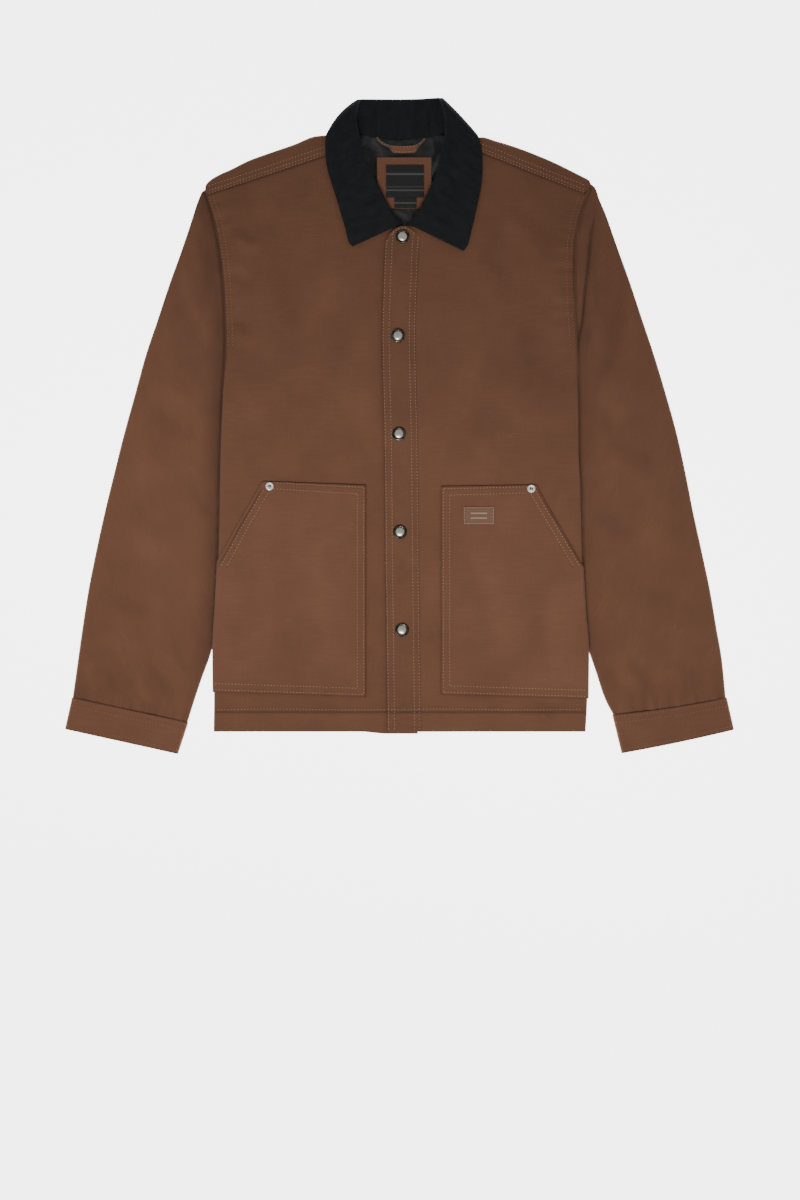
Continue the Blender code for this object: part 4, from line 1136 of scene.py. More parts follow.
# The top of the back, from shoulder tip to shoulder tip: folds, and the neck seam between them
TopPoint = namedtuple("TopPoint", "x y")
BACK_TOP = table(
    TopPoint,
    (-228.2, 276.7), (-225.8, 282), (-221.1, 286.6), (-214.1, 291.3), (-194.2, 300.7), (-175.5, 310),
    (-149.8, 319.4), (-121.7, 328.8), (-97.1, 338.1), (-82, 339.6), (-69, 342.8), (-57.3, 348.1),
    (-52.6, 341.2), (-45.6, 337.8), (-22.2, 334.6), (2.3, 333.3), (28.1, 334.9), (51.5, 337.5),
    (57.3, 341.2), (61.4, 348.1), (73.7, 341.6), (89, 336.6), (97.1, 337.1), (111.1, 333.4),
    (141.6, 324.1), (166.1, 314.7), (187.2, 305.4), (205.9, 296), (215.3, 291.3), (223.5, 286.6),
    (225.9, 284),
)
BACK_ENDS = (-300, NECK_POINT["right"], NECK_POINT["left"], 300)  # of shoulder, neck and shoulder
BACK_ROWS = (HEM, HEM_TOP, -316, -298, -281, -262, -165, -70, 8, 30, 50, 70, ARMPIT)
UPPER_BACK_ROWS = 48
TIP_RIGHT, TIP_LEFT = SHOULDER_TIP["right"][0], SHOULDER_TIP["left"][0]


def spread(low, high, step=STEP):
    """Places from low to high, no further apart than the step."""
    return np.linspace(low, high, math.ceil((high - low) / step) + 1)


BACK_X = np.concatenate(
    [
        TIP_RIGHT + TURN_RADIUS * TURN_STEPS,
        spread(TIP_RIGHT + TURN_RADIUS + 3, NECK_POINT["right"]),
        spread(NECK_POINT["right"], NECK_POINT["left"])[1:-1],
        spread(NECK_POINT["left"], TIP_LEFT - TURN_RADIUS - 3),
        TIP_LEFT - TURN_RADIUS * TURN_STEPS[::-1],
    ]
)


def back_under(x, y):
    return underside(x, y) + np.maximum(0, folded(BACK_FOLDS, x, y))


def is_shoulder(x):
    return (x <= NECK_POINT["right"] + 0.01) | (x >= NECK_POINT["left"] - 0.01)


def shoulder_radius(x, y):
    return (topside(x, y) - underside(x, y)) / 2


def top_line(x):
    """The top of the back in three smooth stretches: shoulder, neck, shoulder."""
    result = np.zeros_like(x)
    for low, high in zip(BACK_ENDS, BACK_ENDS[1:]):
        points = [point for point in BACK_TOP if low <= point.x <= high]
        inside = (x >= low) & (x <= high)
        result = np.where(inside, smooth(*zip(*points), x), result)
    return result


def back_lower(out):
    """The layer that lies below: the back itself, turned up to its side seams at both edges."""
    tops = top_line(BACK_X)
    tops = tops - np.where(is_shoulder(BACK_X), shoulder_radius(BACK_X, tops), 0)
    low_rows = np.array([y for a, b in zip(BACK_ROWS, BACK_ROWS[1:]) for y in spread(a, b)[:-1]])
    low_y = np.repeat(low_rows[:, None], len(BACK_X), axis=1)
    rises = np.linspace(0, 1, UPPER_BACK_ROWS)[:, None]
    y = np.concatenate([low_y, mix(ARMPIT, tops[None, :], rises)])
    right, left = side_x("right", y), side_x("left", y)
    share = (BACK_X - TIP_RIGHT) / (TIP_LEFT - TIP_RIGHT)
    x = mix(right, left, share[None, :])
    height = back_under if out == 0 else underside
    points = np.stack([x, y, height(x, y) - out], axis=-1)
    turn = len(TURN_STEPS)
    for edge, toward, steps in ((right, 1, TURN_STEPS), (left, -1, TURN_STEPS[::-1])):
        own = slice(0, turn) if toward == 1 else slice(-turn, None)
        along = TURN * steps[None, :]
        points[:, own] = panel_points(edge[:, own], y[:, own], toward, 0, along, out, -1, height)
    return points


print(f"The neck seam lies {float(top_line(np.array([0.0]))[0]):.0f} mm above the middle.")

# %% [markdown]
# ## The folds of the shoulders
# Over each shoulder the cloth makes a half turn and lies on the chest as far as the seam. Spin could
# sweep that turn, but its radius changes from the tip of the shoulder to the neck, so each step of
# it is a row of points.

# %% The folds of the shoulders
FOLD_ANGLES = np.radians(np.linspace(-90, 90, 11)[1:])
FLAP_STEPS = np.linspace(0, 1, 7)[1:]  # from the fold to the seam


def shoulder_rows(side, last_row, out):
    (outer_x, outer_y), (inner_x, inner_y) = SHOULDER_SEAM[side]
    tip, neck = SHOULDER_TIP[side][0], NECK_POINT[side]
    x, y = last_row[:, 0], last_row[:, 1]
    reach = shoulder_radius(x, y) + out
    middle = (topside(x, y) + underside(x, y)) / 2
    rows = []
    for angle in FOLD_ANGLES:
        turned = [x, y + reach * math.cos(angle), middle + reach * math.sin(angle)]
        rows.append(np.stack(turned, axis=-1))
    across = (x - tip) / (neck - tip)
    seam_x = mix(outer_x, inner_x, across)
    seam_y = mix(outer_y, inner_y, across) + SEAM_ALLOWANCE
    line = shoulder_line(side)
    for share in FLAP_STEPS:
        flap_x, flap_y = mix(x, seam_x, share), mix(y, seam_y, share)
        relief = puckers(line, flap_x, flap_y, width=8, height=0.14)
        relief = relief + seam_dip(line, flap_x, flap_y, width=2, depth=0.4)
        relief = relief + 0.2 * share * waves(flap_x, flap_y, size=38, seed=4.4)
        rows.append(np.stack([flap_x, flap_y, topside(flap_x, flap_y) + out + relief], axis=-1))
    return rows


def back_skin(out):
    lower = back_lower(out)
    rows, columns = lower.shape[:2]
    points = [in_a_row(lower)]
    faces = grid_faces(rows, columns)
    count, last = rows * columns, (rows - 1) * columns
    for side in SIDES:
        own = np.flatnonzero(is_shoulder(BACK_X) & ((BACK_X > 0) == (side == "left")))
        fold = shoulder_rows(side, lower[-1, own], out)
        faces += [
            (last + int(own[k]), last + int(own[k + 1]), count + k + 1, count + k)
            for k in range(len(own) - 1)
        ]
        faces += grid_faces(len(fold), len(own), count)
        points.append(np.concatenate(fold))
        count += len(fold) * len(own)
    return np.concatenate(points), faces


def back_shade_and_wear(points):
    """Painted shade along the shoulder seams, which are on the upper layer, and some uneven tone."""
    x, y, z = points.T
    painted_shade_and_wear = 0.03 * waves(x, y, size=14, seed=6.1)
    for side in SIDES:
        line = seam_dip(shoulder_line(side), x, y, width=1.4, depth=0.3)
        painted_shade_and_wear = painted_shade_and_wear + np.where(z > BODY_HEIGHT / 2, line, 0)
    return painted_shade_and_wear


outer, faces = back_skin(0)
inner, _ = back_skin(-WALL)
back = wall("back_canvas", outer, inner, faces, outer[:, :2], CANVAS, painted_shade_and_wear=back_shade_and_wear(outer))
tell(back)

# %% [markdown]
# ## Rings of the sleeves and cuffs
# A sleeve that lies flat is a squashed tube: two flat layers with a tight fold at each side. A scaled
# cylinder would have an oval section. So each ring is measured in plan from its outer fold to its
# inner one, and rows of points go over, round, under and back.

# %% Rings of the sleeves and cuffs
# relief raises the middle of a ring's upper layer, and bow curves the ring toward the cuff
Ring = namedtuple("Ring", "outer_x outer_y inner_x inner_y relief bow", defaults=(0, 0))
SLEEVE_RINGS = {
    "right": table(
        Ring,
        (-231.1, 273.2, -203.4, 78.4, -0.9), (-235.8, 262.1, -204.6, 59.7, -0.3),
        (-244.5, 235.2, -206.2, 38.6), (-255.6, 202.4, -207.5, 15.2), (-269.1, 165, -201.2, -12.9),
        (-283.1, 122.8, -188.4, -45.6), (-297.2, 80.7, -181.3, -81.9), (-310, 33.9, -180.2, -120.5),
        (-322.3, -10.5, -186, -160.3), (-334, -57.3, -198.9, -204.8), (-345.1, -103, -214.1, -246.9),
        (-355.1, -148.6, -222.9, -274.9), (-363.9, -193, -229.9, -293.7),
        (-370.9, -237.5, -236.3, -312.4), (-376.2, -274.9, -241.6, -328.8),
        (-382.2, -318, -247.4, -347.4),
    ),
    "left": table(
        Ring,
        (229.9, 278.5, 209.9, 74.9, 1.4), (231.9, 273.8, 210.4, 69, -1.2),
        (234, 266.8, 210.6, 57.3, -0.3), (242.8, 245.7, 210.6, 37.4), (255.1, 210.6, 210.7, 14),
        (270.3, 168.5, 203.6, -12.9), (285.5, 122.8, 190.7, -45.6), (299.5, 80.7, 183.7, -81.9),
        (313.6, 33.9, 182.5, -120.5), (325.8, -10.5, 188.4, -160.3), (336.1, -57.3, 201.2, -204.8),
        (345.1, -103, 217, -249.2), (355.1, -148.6, 225.8, -274.9), (364.5, -193, 232.2, -293.7),
        (372.1, -237.5, 238.1, -312.4), (378.5, -274.9, 243.4, -325.3, 0, 1),
        (382.8, -318.2, 250.4, -338.2, 0, 2),
    ),
}
CUFF_RINGS = {
    "right": table(
        Ring,
        (-383.1, -318.6, -246.6, -348), (-384.6, -325.3, -248.7, -354.6),
        (-391.4, -356, -258.7, -385.3),
    ),
    "left": table(
        Ring,
        (384, -318.8, 249.6, -338.9, 0, 2), (385.6, -325.4, 251.5, -346.6, 0, 2),
        (392.7, -356.8, 260.7, -384.5, 0, 1),
    ),
}
ACROSS = 46  # steps across a sleeve's flat layer
FOLD_STEPS = np.radians(np.linspace(90, -90, 11)[1:-1])  # round the fold between its two layers
ARMHOLE_STEPS = 7  # rings between the first one and the next
FINE_RINGS, FINE_LAST_RINGS = 5, 2
ARMHOLE_GAP = -1.0  # a sleeve's first ring is sunk in the body's edge


def bowed(share):
    """0 at both ends and 1 in the middle, along a parabola."""
    return 4 * share * (1 - share)


def flat_line(ring, height):
    """The flat part of a ring in plan, and which way it faces at its inner end."""
    outer, inner = np.array([ring.outer_x, ring.outer_y]), np.array([ring.inner_x, ring.inner_y])
    way = (inner - outer) / np.hypot(*(inner - outer))
    down = np.array([way[1], -way[0]])
    down *= -math.copysign(1, down[1])
    share = np.linspace(0, 1, ACROSS + 1)[:, None]
    start, end = outer + way * height / 2, inner - way * height / 2
    return mix(start, end, share) + down * ring.bow * bowed(share), way


def armhole_ring(side, height):
    y = np.linspace(SHOULDER_TIP[side][1] - height / 2, ARMPIT + height / 2, ACROSS + 1)
    return np.stack([side_x(side, y) + SIGN[side] * ARMHOLE_GAP, y], axis=1), np.array([0.0, -1.0])


def tube_lines(side, rings, height, from_armhole=False):
    """Each ring's flat line, the way it faces and its relief."""
    fine = FINE_RINGS if from_armhole else 0
    read = [Ring(*row) for row in rows_between(rings, fine=fine, fine_last=FINE_LAST_RINGS)]
    lines = [(*flat_line(ring, height), ring.relief) for ring in read]
    if not from_armhole:
        return lines
    first, way = armhole_ring(side, height)
    then, then_way, relief = lines[0]
    from_body = []
    for share in (step / ARMHOLE_STEPS for step in range(ARMHOLE_STEPS)):
        turned = mix(way, then_way, share)
        from_body.append((mix(first, then, share), turned / np.hypot(*turned), relief * share))
    return from_body + lines


print("The right sleeve is measured at", len(SLEEVE_RINGS["right"]), "rings.")

# %% [markdown]
# ## A squashed tube
# Both sleeves and both cuffs are this one shape. Bridging edge loops could join its rings by hand,
# but all rings have as many points, so the faces follow from their numbers. Only the upper layer
# has folds and painted shade, because the lower one lies flat on the floor.

# %% A squashed tube
def tube_rings(lines, height, relief_at, out):
    radius, reach = height / 2, height / 2 + out
    loops = []
    for points, way, relief in lines:
        share = np.linspace(0, 1, len(points))
        x, y = points.T
        inside = np.sin(math.pi * np.clip(share, 0.02, 0.98)) ** 0.35
        top = radius + reach + relief * bowed(share) + relief_at(x, y) * inside
        upper = np.column_stack([points, top])
        lower = np.column_stack([points, np.full(len(points), radius - reach)])[::-1]
        turn = [(way * reach * math.cos(angle), radius + reach * math.sin(angle)) for angle in FOLD_STEPS]
        inner = [(*(points[-1] + aside), level) for aside, level in turn]
        outer = [(*(points[0] - aside), level) for aside, level in turn[::-1]]
        loops.append(np.concatenate([upper, inner, lower, outer]))
    return np.array(loops)


def tube_uvs(loops):
    """The cloth's own coordinates: across the tube from its outer fold and back, and along it."""
    step = np.linalg.norm(np.diff(loops, axis=0), axis=2)
    along = np.concatenate([np.zeros((1, loops.shape[1])), np.cumsum(step, axis=0)])
    flat, turn = ACROSS + 1, len(FOLD_STEPS)
    width = np.linalg.norm(loops[:, flat - 1] - loops[:, 0], axis=1)[:, None]
    over, under = np.linspace(0, 1, flat), np.linspace(1, 0, flat)
    share = np.concatenate([over, np.ones(turn), under, np.zeros(turn)])
    extra = np.zeros(loops.shape[1])
    bulge = 10 / (turn + 1) * np.minimum(np.arange(1, turn + 1), np.arange(turn, 0, -1))
    extra[flat : flat + turn] = bulge
    extra[2 * flat + turn :] = -bulge
    return np.stack([share[None, :] * width + extra[None, :], -along], axis=-1)


def tube(name, lines, height, relief_at, shade_and_wear_at, material, rim=0.5):
    outer, inner = (tube_rings(lines, height, relief_at, out) for out in (0, -WALL))
    upper = outer[:, :, 2] > height / 2
    # only the upper layer gets the painted shade and highlight, with some uneven tone
    painted_shade_and_wear = np.where(upper, shade_and_wear_at(outer[:, :, 0], outer[:, :, 1]), 0)
    rows, around = outer.shape[:2]
    faces = [
        (first + at, first + (at + 1) % around, first + around + (at + 1) % around, first + around + at)
        for first in range(0, (rows - 1) * around, around)
        for at in range(around)
    ]
    uvs = in_a_row(tube_uvs(outer))
    return wall(name, in_a_row(outer), in_a_row(inner), faces, uvs, material, rim, painted_shade_and_wear)


print("Each ring is a loop of", 2 * (ACROSS + 1) + 2 * len(FOLD_STEPS), "points.")

# %% [markdown]
# ## Sleeves
# Where the arm bends, a sleeve keeps creases in its upper layer, and beside the left armhole its top
# folds over itself. Sculpted creases could pull it off its seams, so they are heights that fade at
# its edges, and they also say where shade is painted on the cloth.

# %% Sleeves
SLEEVE_FOLDS = {
    "right": table(
        Fold,
        (-236, 232, -226, 140, 8, -0.9), (-250, 190, -222, 100, 9, 0.7), (-262, 156, -226, 66, 12, -0.6),
        (-292, 60, -232, 20, 15, 0.6), (-298, 24, -236, -20, 12, -0.6), (-306, -20, -262, -62, 14, 0.5),
        (-256, -58, -222, -110, 11, -0.6), (-318, -84, -268, -120, 13, -0.45),
        (-330, -130, -262, -168, 16, 0.5), (-340, -196, -286, -214, 12, -0.4),
        (-352, -246, -300, -262, 11, 0.4), (-288, -270, -262, -318, 8, -0.7),
        (-276, -262, -252, -306, 7, 0.6), (-306, -284, -284, -328, 7, 0.5),
        (-340, -286, -330, -314, 7, -0.45), (-360, -270, -358, -308, 8, 0.4),
        (-320, -290, -312, -322, 6, -0.4),
    ),
    "left": table(
        Fold,
        (228, 196, 220, 96, 6, -0.8), (240, 210, 232, 90, 9, 0.8), (254, 170, 240, 60, 11, -0.6),
        (238, 60, 270, 10, 13, 0.6), (228, 26, 262, -40, 11, -0.6), (244, -22, 300, -72, 15, 0.5),
        (268, -30, 316, -60, 12, -0.45), (232, -84, 268, -130, 12, -0.5), (280, -120, 330, -156, 15, 0.45),
        (262, -176, 330, -200, 14, -0.4), (300, -232, 352, -246, 12, 0.4), (258, -262, 278, -308, 8, 0.7),
        (270, -272, 296, -318, 7, -0.6), (246, -276, 256, -318, 6, -0.5), (318, -280, 330, -312, 7, 0.45),
        (348, -276, 352, -308, 7, -0.4), (300, -262, 306, -300, 8, 0.35),
    ),
}
INTO_CUFF = 1.6  # how far a sleeve goes on inside its cuff
UNDERARM_SINK = 2.6  # how far its inner edge is sunk in the body beside it
SLEEVE_BULGE = 0.85  # the height of its broadest rises
# painted shade on each sleeve beside the body, where the body's side overhangs it
SHADE_BESIDE_BODY = {"right": 0.3, "left": 0.08}  # how much darker a sleeve is there
# Where the top of the left sleeve folds over itself beside the armhole
LEFT_CREASE = [(229.2, 243.5), (223.8, 223.9), (221.6, 198), (217.3, 161.2), (215.2, 128.7)]
LEFT_CREASE += [(210.8, 102.8), (208.6, 85.5)]


def past_crease(x, y):
    """How far a place is outward of the left sleeve's crease, and the crease's strength there."""
    x, y = np.broadcast_arrays(np.asarray(x, float), np.asarray(y, float))
    away, along = line_distance(LEFT_CREASE, x, y)
    line = np.array(LEFT_CREASE)[::-1]
    reach = away * np.sign(x - np.interp(y, line[:, 1], line[:, 0]))
    return reach, ease((along + 12) / 40) * ease((170 - along) / 40)


def crease(x, y):
    """A strip that ends in a rolled edge, and past it the cloth that it lies on."""
    reach, ends = past_crease(x, y)
    strip = 0.7 * bell(reach + 3.5, 4)
    under = -0.5 * np.exp(-reach / 3) - 1.2 * reach / 11 * np.exp(1 - reach / 11)
    return np.where(reach <= 0, strip, under) * ends


def crease_painted_shade(x, y):
    """A painted dark line of shade at the rolled edge, and a painted soft shadow past it."""
    reach, ends = past_crease(x, y)
    dark = 0.35 * bell(reach, 1.9) + np.where(reach > 0, 0.16 * np.exp(-reach / 9), 0)
    return -dark * ends


def cuff_seam(side, ring=0, rise=0):
    """From the outer to the inner end of one of the cuff's rings."""
    ring = CUFF_RINGS[side][ring]
    ends = np.array([[ring.outer_x, ring.outer_y], [ring.inner_x, ring.inner_y]])
    share = np.linspace(0, 1, 9)[:, None]
    line = mix(ends[0], ends[1], share)
    line[:, 1] += rise - ring.bow * bowed(share[:, 0])
    return [tuple(point) for point in line]


def sleeve_relief(side, x, y):
    """Everything that makes the upper layer of a sleeve uneven."""
    clear = ease((np.abs(x) - np.abs(side_x(side, np.minimum(y, ARMPIT))) - 1) / 9)
    clear = np.maximum(clear, ease((y - ARMPIT) / 6))
    height = FOLD_STRENGTH * folded(SLEEVE_FOLDS[side], x, y)
    height += SLEEVE_BULGE * waves(x, y, size=36, seed=4.9) + 0.24 * waves(x, y, size=15, seed=8.2)
    height = height * clear
    above = ease((y - ARMPIT) / 20)
    away, _ = line_distance(armhole(side, -1), x, y)
    if side == "right":
        height -= 1.5 * np.exp(-away / 8) * above
    else:
        height += crease(x, y) - 1.2 * np.exp(-away / 3) * above
    seam = cuff_seam(side)
    away, _ = line_distance(seam, x, y)
    height += puckers(seam, x, y, width=17, height=0.9) - 0.9 * np.exp(-away / 1.2)
    return height + puckers(armhole(side, -5), x, y, width=8, height=0.22) * above


def sleeve_shade_and_wear(side, x, y):
    """Painted shade beside the body, in the folds and at the cuff's seam, painted highlight on the ridges,
    and some uneven tone.
    """
    edge = [(float(side_x(side, y)) + SIGN[side] * 2, y) for y in range(-320, 281, 30)]
    away, _ = line_distance(edge, x, y)
    folds = FOLD_STRENGTH * folded(SLEEVE_FOLDS[side], x, y)
    folds += SLEEVE_BULGE * waves(x, y, size=36, seed=4.9)
    painted_shade_and_wear = 0.045 * folds + 0.04 * waves(x, y, size=14, seed=6.1) + 0.03
    painted_shade_and_wear -= SHADE_BESIDE_BODY[side] * bell(away, 15) + 0.3 * bell(away, 1.8)
    if side == "left":
        painted_shade_and_wear += crease_painted_shade(x, y)
    painted_shade_and_wear += puckers(cuff_seam(side), x, y, width=17, height=0.16) - 0.04
    return painted_shade_and_wear + seam_dip(cuff_seam(side), x, y, width=0.9, depth=0.35)


def sleeve_rings(side):
    """The sleeve's rings, held against the body's side, and one more inside the cuff."""
    sink = -SIGN[side] * UNDERARM_SINK
    beside = [
        ring._replace(inner_x=ring.inner_x + sink * float(ease((ring.inner_y + 20) / 20)))
        for ring in SLEEVE_RINGS[side]
    ]
    before, last = (np.array(ring, float) for ring in beside[-2:])
    step = last - before
    share = INTO_CUFF / np.hypot(step[2], step[3])
    return [*beside, last + step * share]


sleeves = {}
for side in SIDES:
    name, lines = f"sleeve_{side}_canvas", tube_lines(side, sleeve_rings(side), BODY_HEIGHT, True)
    relief, painted_shade_and_wear = partial(sleeve_relief, side), partial(sleeve_shade_and_wear, side)
    sleeves[side] = tube(name, lines, BODY_HEIGHT, relief, painted_shade_and_wear, CANVAS_SLEEVE[side])
tell(*sleeves.values())

# %% [markdown]
# ## Cuffs
# A cuff is a band sewn over the sleeve's end. It could be the sleeve's last rings made thicker, but a
# seam lies between them. So it is a tube of its own, a millimetre higher, with a rounder rim and
# puckers along both seams.

# %% Cuffs
CUFF_HEIGHT = BODY_HEIGHT + 1
CUFF_RIM = 0.9


# Painted shade at the cuff's two seams, and some uneven tone.
def cuff_shade_and_wear(side, x, y):
    painted_shade_and_wear = 0.03 * waves(x, y, size=14, seed=6.1)
    painted_shade_and_wear += seam_dip(cuff_seam(side), x, y, width=0.8, depth=0.35)
    return painted_shade_and_wear + seam_dip(cuff_seam(side, -1), x, y, width=1, depth=0.2)


def cuff_relief(side, x, y):
    height = puckers(cuff_seam(side, 0, -4), x, y, width=8, height=0.4)
    height += puckers(cuff_seam(side, -1, 6), x, y, width=6, height=0.2)
    return height + 0.2 * waves(x, y, size=30, seed=9.4)


cuffs = {}
for side in SIDES:
    name, lines = f"cuff_{side}_canvas", tube_lines(side, CUFF_RINGS[side], CUFF_HEIGHT)
    relief, painted_shade_and_wear = partial(cuff_relief, side), partial(cuff_shade_and_wear, side)
    cuffs[side] = tube(name, lines, CUFF_HEIGHT, relief, painted_shade_and_wear, CANVAS_CUFF[side], CUFF_RIM)
tell(*cuffs.values())

# %% [markdown]
# ## Collar
# The collar is one strip that stands up from the neck, rolls over and falls: under the back behind
# the neck, on the fronts elsewhere. A cloth simulation tangles where it turns over the shoulders. So
# its section is measured at stations, each a stand, a round roll and a fall, tilted as it lies.

# %% Collar
# tilt is 90 where the fall lies on the stand and -90 where it is folded behind it, seam, roll and
# edge are places in plan, and bow pushes the fall outward
Station = namedtuple("Station", "tilt seam_x seam_y roll_x roll_y edge_x edge_y bow", defaults=(0,))
COLLAR_MIDDLE = Station(-90, 2.3, 334.4, 2.3, 381.8, 2.3, 321.8)
COLLAR_STATIONS = {
    "right": table(
        Station,
        (-90, -22.2, 335.7, -21.1, 381.9, -28.1, 322.3), (-90, -33.9, 337.4, -33.9, 382, -53.8, 325.3),
        (-90, -42.1, 339.4, -40.9, 382, -67.9, 330.5), (-78, -49, 343.6, -43.9, 381.7, -78.6, 339, 3),
        (-40, -52.3, 346, -45.3, 381.1, -80.9, 341.4, 4),
        (0, -53.4, 346.9, -46.4, 379.9, -82.1, 341.9, 4), (35, -53.6, 341.6, -47.3, 377.3, -83.1, 340.9, 4),
        (70, -53.4, 334.6, -48.4, 372.1, -84.5, 338.1, 3),
        (90, -52.9, 328.8, -49.7, 365, -85.6, 335.1, 2), (90, -52.7, 325.3, -50, 358, -86.1, 327.6),
        (90, -52.2, 321, -48.4, 349.8, -85.6, 317.7), (90, -50.9, 314.4, -46.4, 339.5, -85.3, 308.9),
        (90, -48.6, 307.9, -44.1, 326.4, -83.9, 300.1), (90, -44.2, 298.6, -39.8, 311.8, -81.3, 290.2),
        (90, -39, 288.2, -32.3, 299.2, -77.7, 278.5), (90, -32, 272.5, -24.8, 281.3, -72, 260.9),
        (90, -26.1, 260.9, -18.7, 269.1, -67.3, 244.5), (90, -17.3, 246.3, -10.5, 253.3, -62.8, 229.3),
        (90, -10.3, 238.1, -3.5, 242.8, -58.4, 212.6), (90, -2.3, 232.2, 3.5, 234.8, -53.9, 208.6),
    ),
    "left": table(
        Station,
        (-90, 26.9, 335.7, 25.7, 382.4, 32.8, 322.3), (-90, 38.6, 337.1, 37.4, 383.2, 58.5, 325.3),
        (-90, 46.8, 339.1, 44.5, 383.5, 73.7, 330.3), (-78, 54, 343.3, 47, 383.3, 85.2, 337, 1),
        (-40, 57, 345.9, 47.7, 382.8, 88.1, 339.2, 1), (0, 57.9, 346.9, 48.2, 381.9, 89.8, 340, 1),
        (35, 58, 341.6, 49.1, 379.1, 90.9, 338.6, 1), (70, 57.8, 334.6, 50.9, 373.2, 92.7, 335.2, 1),
        (90, 57.4, 328.8, 53, 365.6, 94.2, 332.3), (90, 57.2, 325.3, 53.6, 358, 95.7, 325.8),
        (90, 56.7, 321, 53.6, 347.5, 96.9, 317.1), (90, 55.6, 314.1, 52.8, 336.5, 97.3, 307.1),
        (90, 54.2, 307.1, 51.2, 327, 97.3, 297.2), (90, 51.6, 298.1, 48.3, 314.1, 96.9, 286.6),
        (90, 48.4, 288.3, 45.4, 302.2, 95.1, 273.8), (90, 43.3, 273.7, 39.4, 284.3, 91.8, 257.4),
        (90, 38.2, 260.9, 34.9, 274.4, 88.3, 242.2), (90, 33.4, 252.7, 28.1, 260.3, 84.6, 226.4),
        (90, 25.8, 241.8, 21.4, 248.4, 80.1, 209.4), (90, 18.6, 232.8, 12.3, 233.2, 75.2, 203.2),
    ),
}
COLLAR_FOLDS = table(
    Fold,
    (-74, 320, -58, 236, 9, 0.4), (84, 318, 74, 232, 10, 0.4), (-60, 300, -50, 262, 6, -0.3),
    (66, 300, 62, 250, 7, -0.3), (-30, 366, 30, 364, 8, -0.3),
)
COLLAR_STEP = 3.6  # between its sections
FALL_CLEAR = 1  # over the front
STAND_BACK, STAND_FRONT = 5.2, 9.3  # height of the middle of the wall, as below
FALL_BACK, FALL_FRONT = 1.2, 12.7
ROLL_BACK, ROLL_FRONT = 2.0, 1.7  # radius of the roll
LAID_FROM, LAID_RAMP = 70, 20  # the tilt from which the fall settles on the front
SETTLE = 0.22  # the share of the fall in which it does
STAND_STEPS, ROLL_STEPS, FALL_STEPS = 8, 10, 20


def collar_section(side, station):
    """The points of one section, from the neck seam over the roll to the edge of the fall."""
    seam, roll = np.array([station.seam_x, station.seam_y]), np.array([station.roll_x, station.roll_y])
    edge = np.array([station.edge_x, station.edge_y])
    way = (edge - roll) / np.hypot(*(edge - roll))
    outward = np.array([way[1], -way[0]]) * -SIGN[side]
    up = math.sin(math.radians(station.tilt))
    front = (1 + up) / 2
    laid = float(ease((station.tilt - LAID_FROM) / LAID_RAMP))
    over = float(overlap(*seam)) * laid if side == "left" else 0
    stand, fall = mix(STAND_BACK, STAND_FRONT, front) + over, mix(FALL_BACK, FALL_FRONT, front) + over

    radius = mix(ROLL_BACK, ROLL_FRONT, front)
    centre = np.array([*(roll + way * (WALL / 2 + radius)), (stand + fall) / 2])
    normal = np.array([*(outward * math.cos(math.radians(station.tilt))), up])
    share = np.linspace(0, 1, STAND_STEPS)[:-1, None]
    stands = mix(np.array([*seam, stand]), centre - normal * radius, share)
    angle = np.linspace(0, math.pi, ROLL_STEPS + 1)[:, None]
    back = np.array([*way, 0])
    rolls = centre - normal * radius * np.cos(angle) - back * radius * np.sin(angle)

    share = np.linspace(0, 1, FALL_STEPS + 1)[1:]
    x, y = (mix(rolls[-1][:2], edge, share[:, None]) + outward * (station.bow * bowed(share))[:, None]).T
    high = np.full(len(share), rolls[-1][2])
    if laid:
        low = front_top(side, x, y) + FALL_CLEAR + WALL / 2
        high = mix(high, mix(np.maximum(high, low), low, ease(share / SETTLE)), laid)
        high = high + laid * np.sin(math.pi * np.minimum(share, 0.94)) ** 0.5 * folded(COLLAR_FOLDS, x, y)
    return np.concatenate([stands, rolls, np.column_stack([x, y, high])])


def collar_side(side):
    rows = rows_between([COLLAR_MIDDLE, *COLLAR_STATIONS[side]], COLLAR_STEP)
    return [collar_section(side, Station(*row)) for row in rows]


def lengths_along(grid, axis):
    """How far each row or column of a grid of points is from its first one, on the average."""
    steps = np.linalg.norm(np.diff(grid, axis=axis), axis=2).mean(axis=1 - axis)
    return np.concatenate([[0], np.cumsum(steps)])


collar_grid = np.array(collar_side("left")[:0:-1] + collar_side("right"))
collar_uvs = np.meshgrid(lengths_along(collar_grid, 0), lengths_along(collar_grid, 1), indexing="ij")
collar = new_piece(
    "collar_cloth",
    in_a_row(collar_grid),
    grid_faces(*collar_grid.shape[:2]),
    in_a_row(np.stack(collar_uvs, axis=-1)),
    NAP,
)
collar_wall = collar.modifiers.new("wall", "SOLIDIFY")
collar_wall.thickness = WALL * MM
collar_wall.offset = 0
round_rim(collar, 0.9, segments=3)
tell(collar)

# %% [markdown]
# ## Lining
# Inside the neck the lining shows, which is thin, smooth and creased. It could be the inner face of
# the back, but the real one hangs loose of the canvas. So it is a thin piece, and its creases are
# mostly hollows, because what lies on it presses it flat.

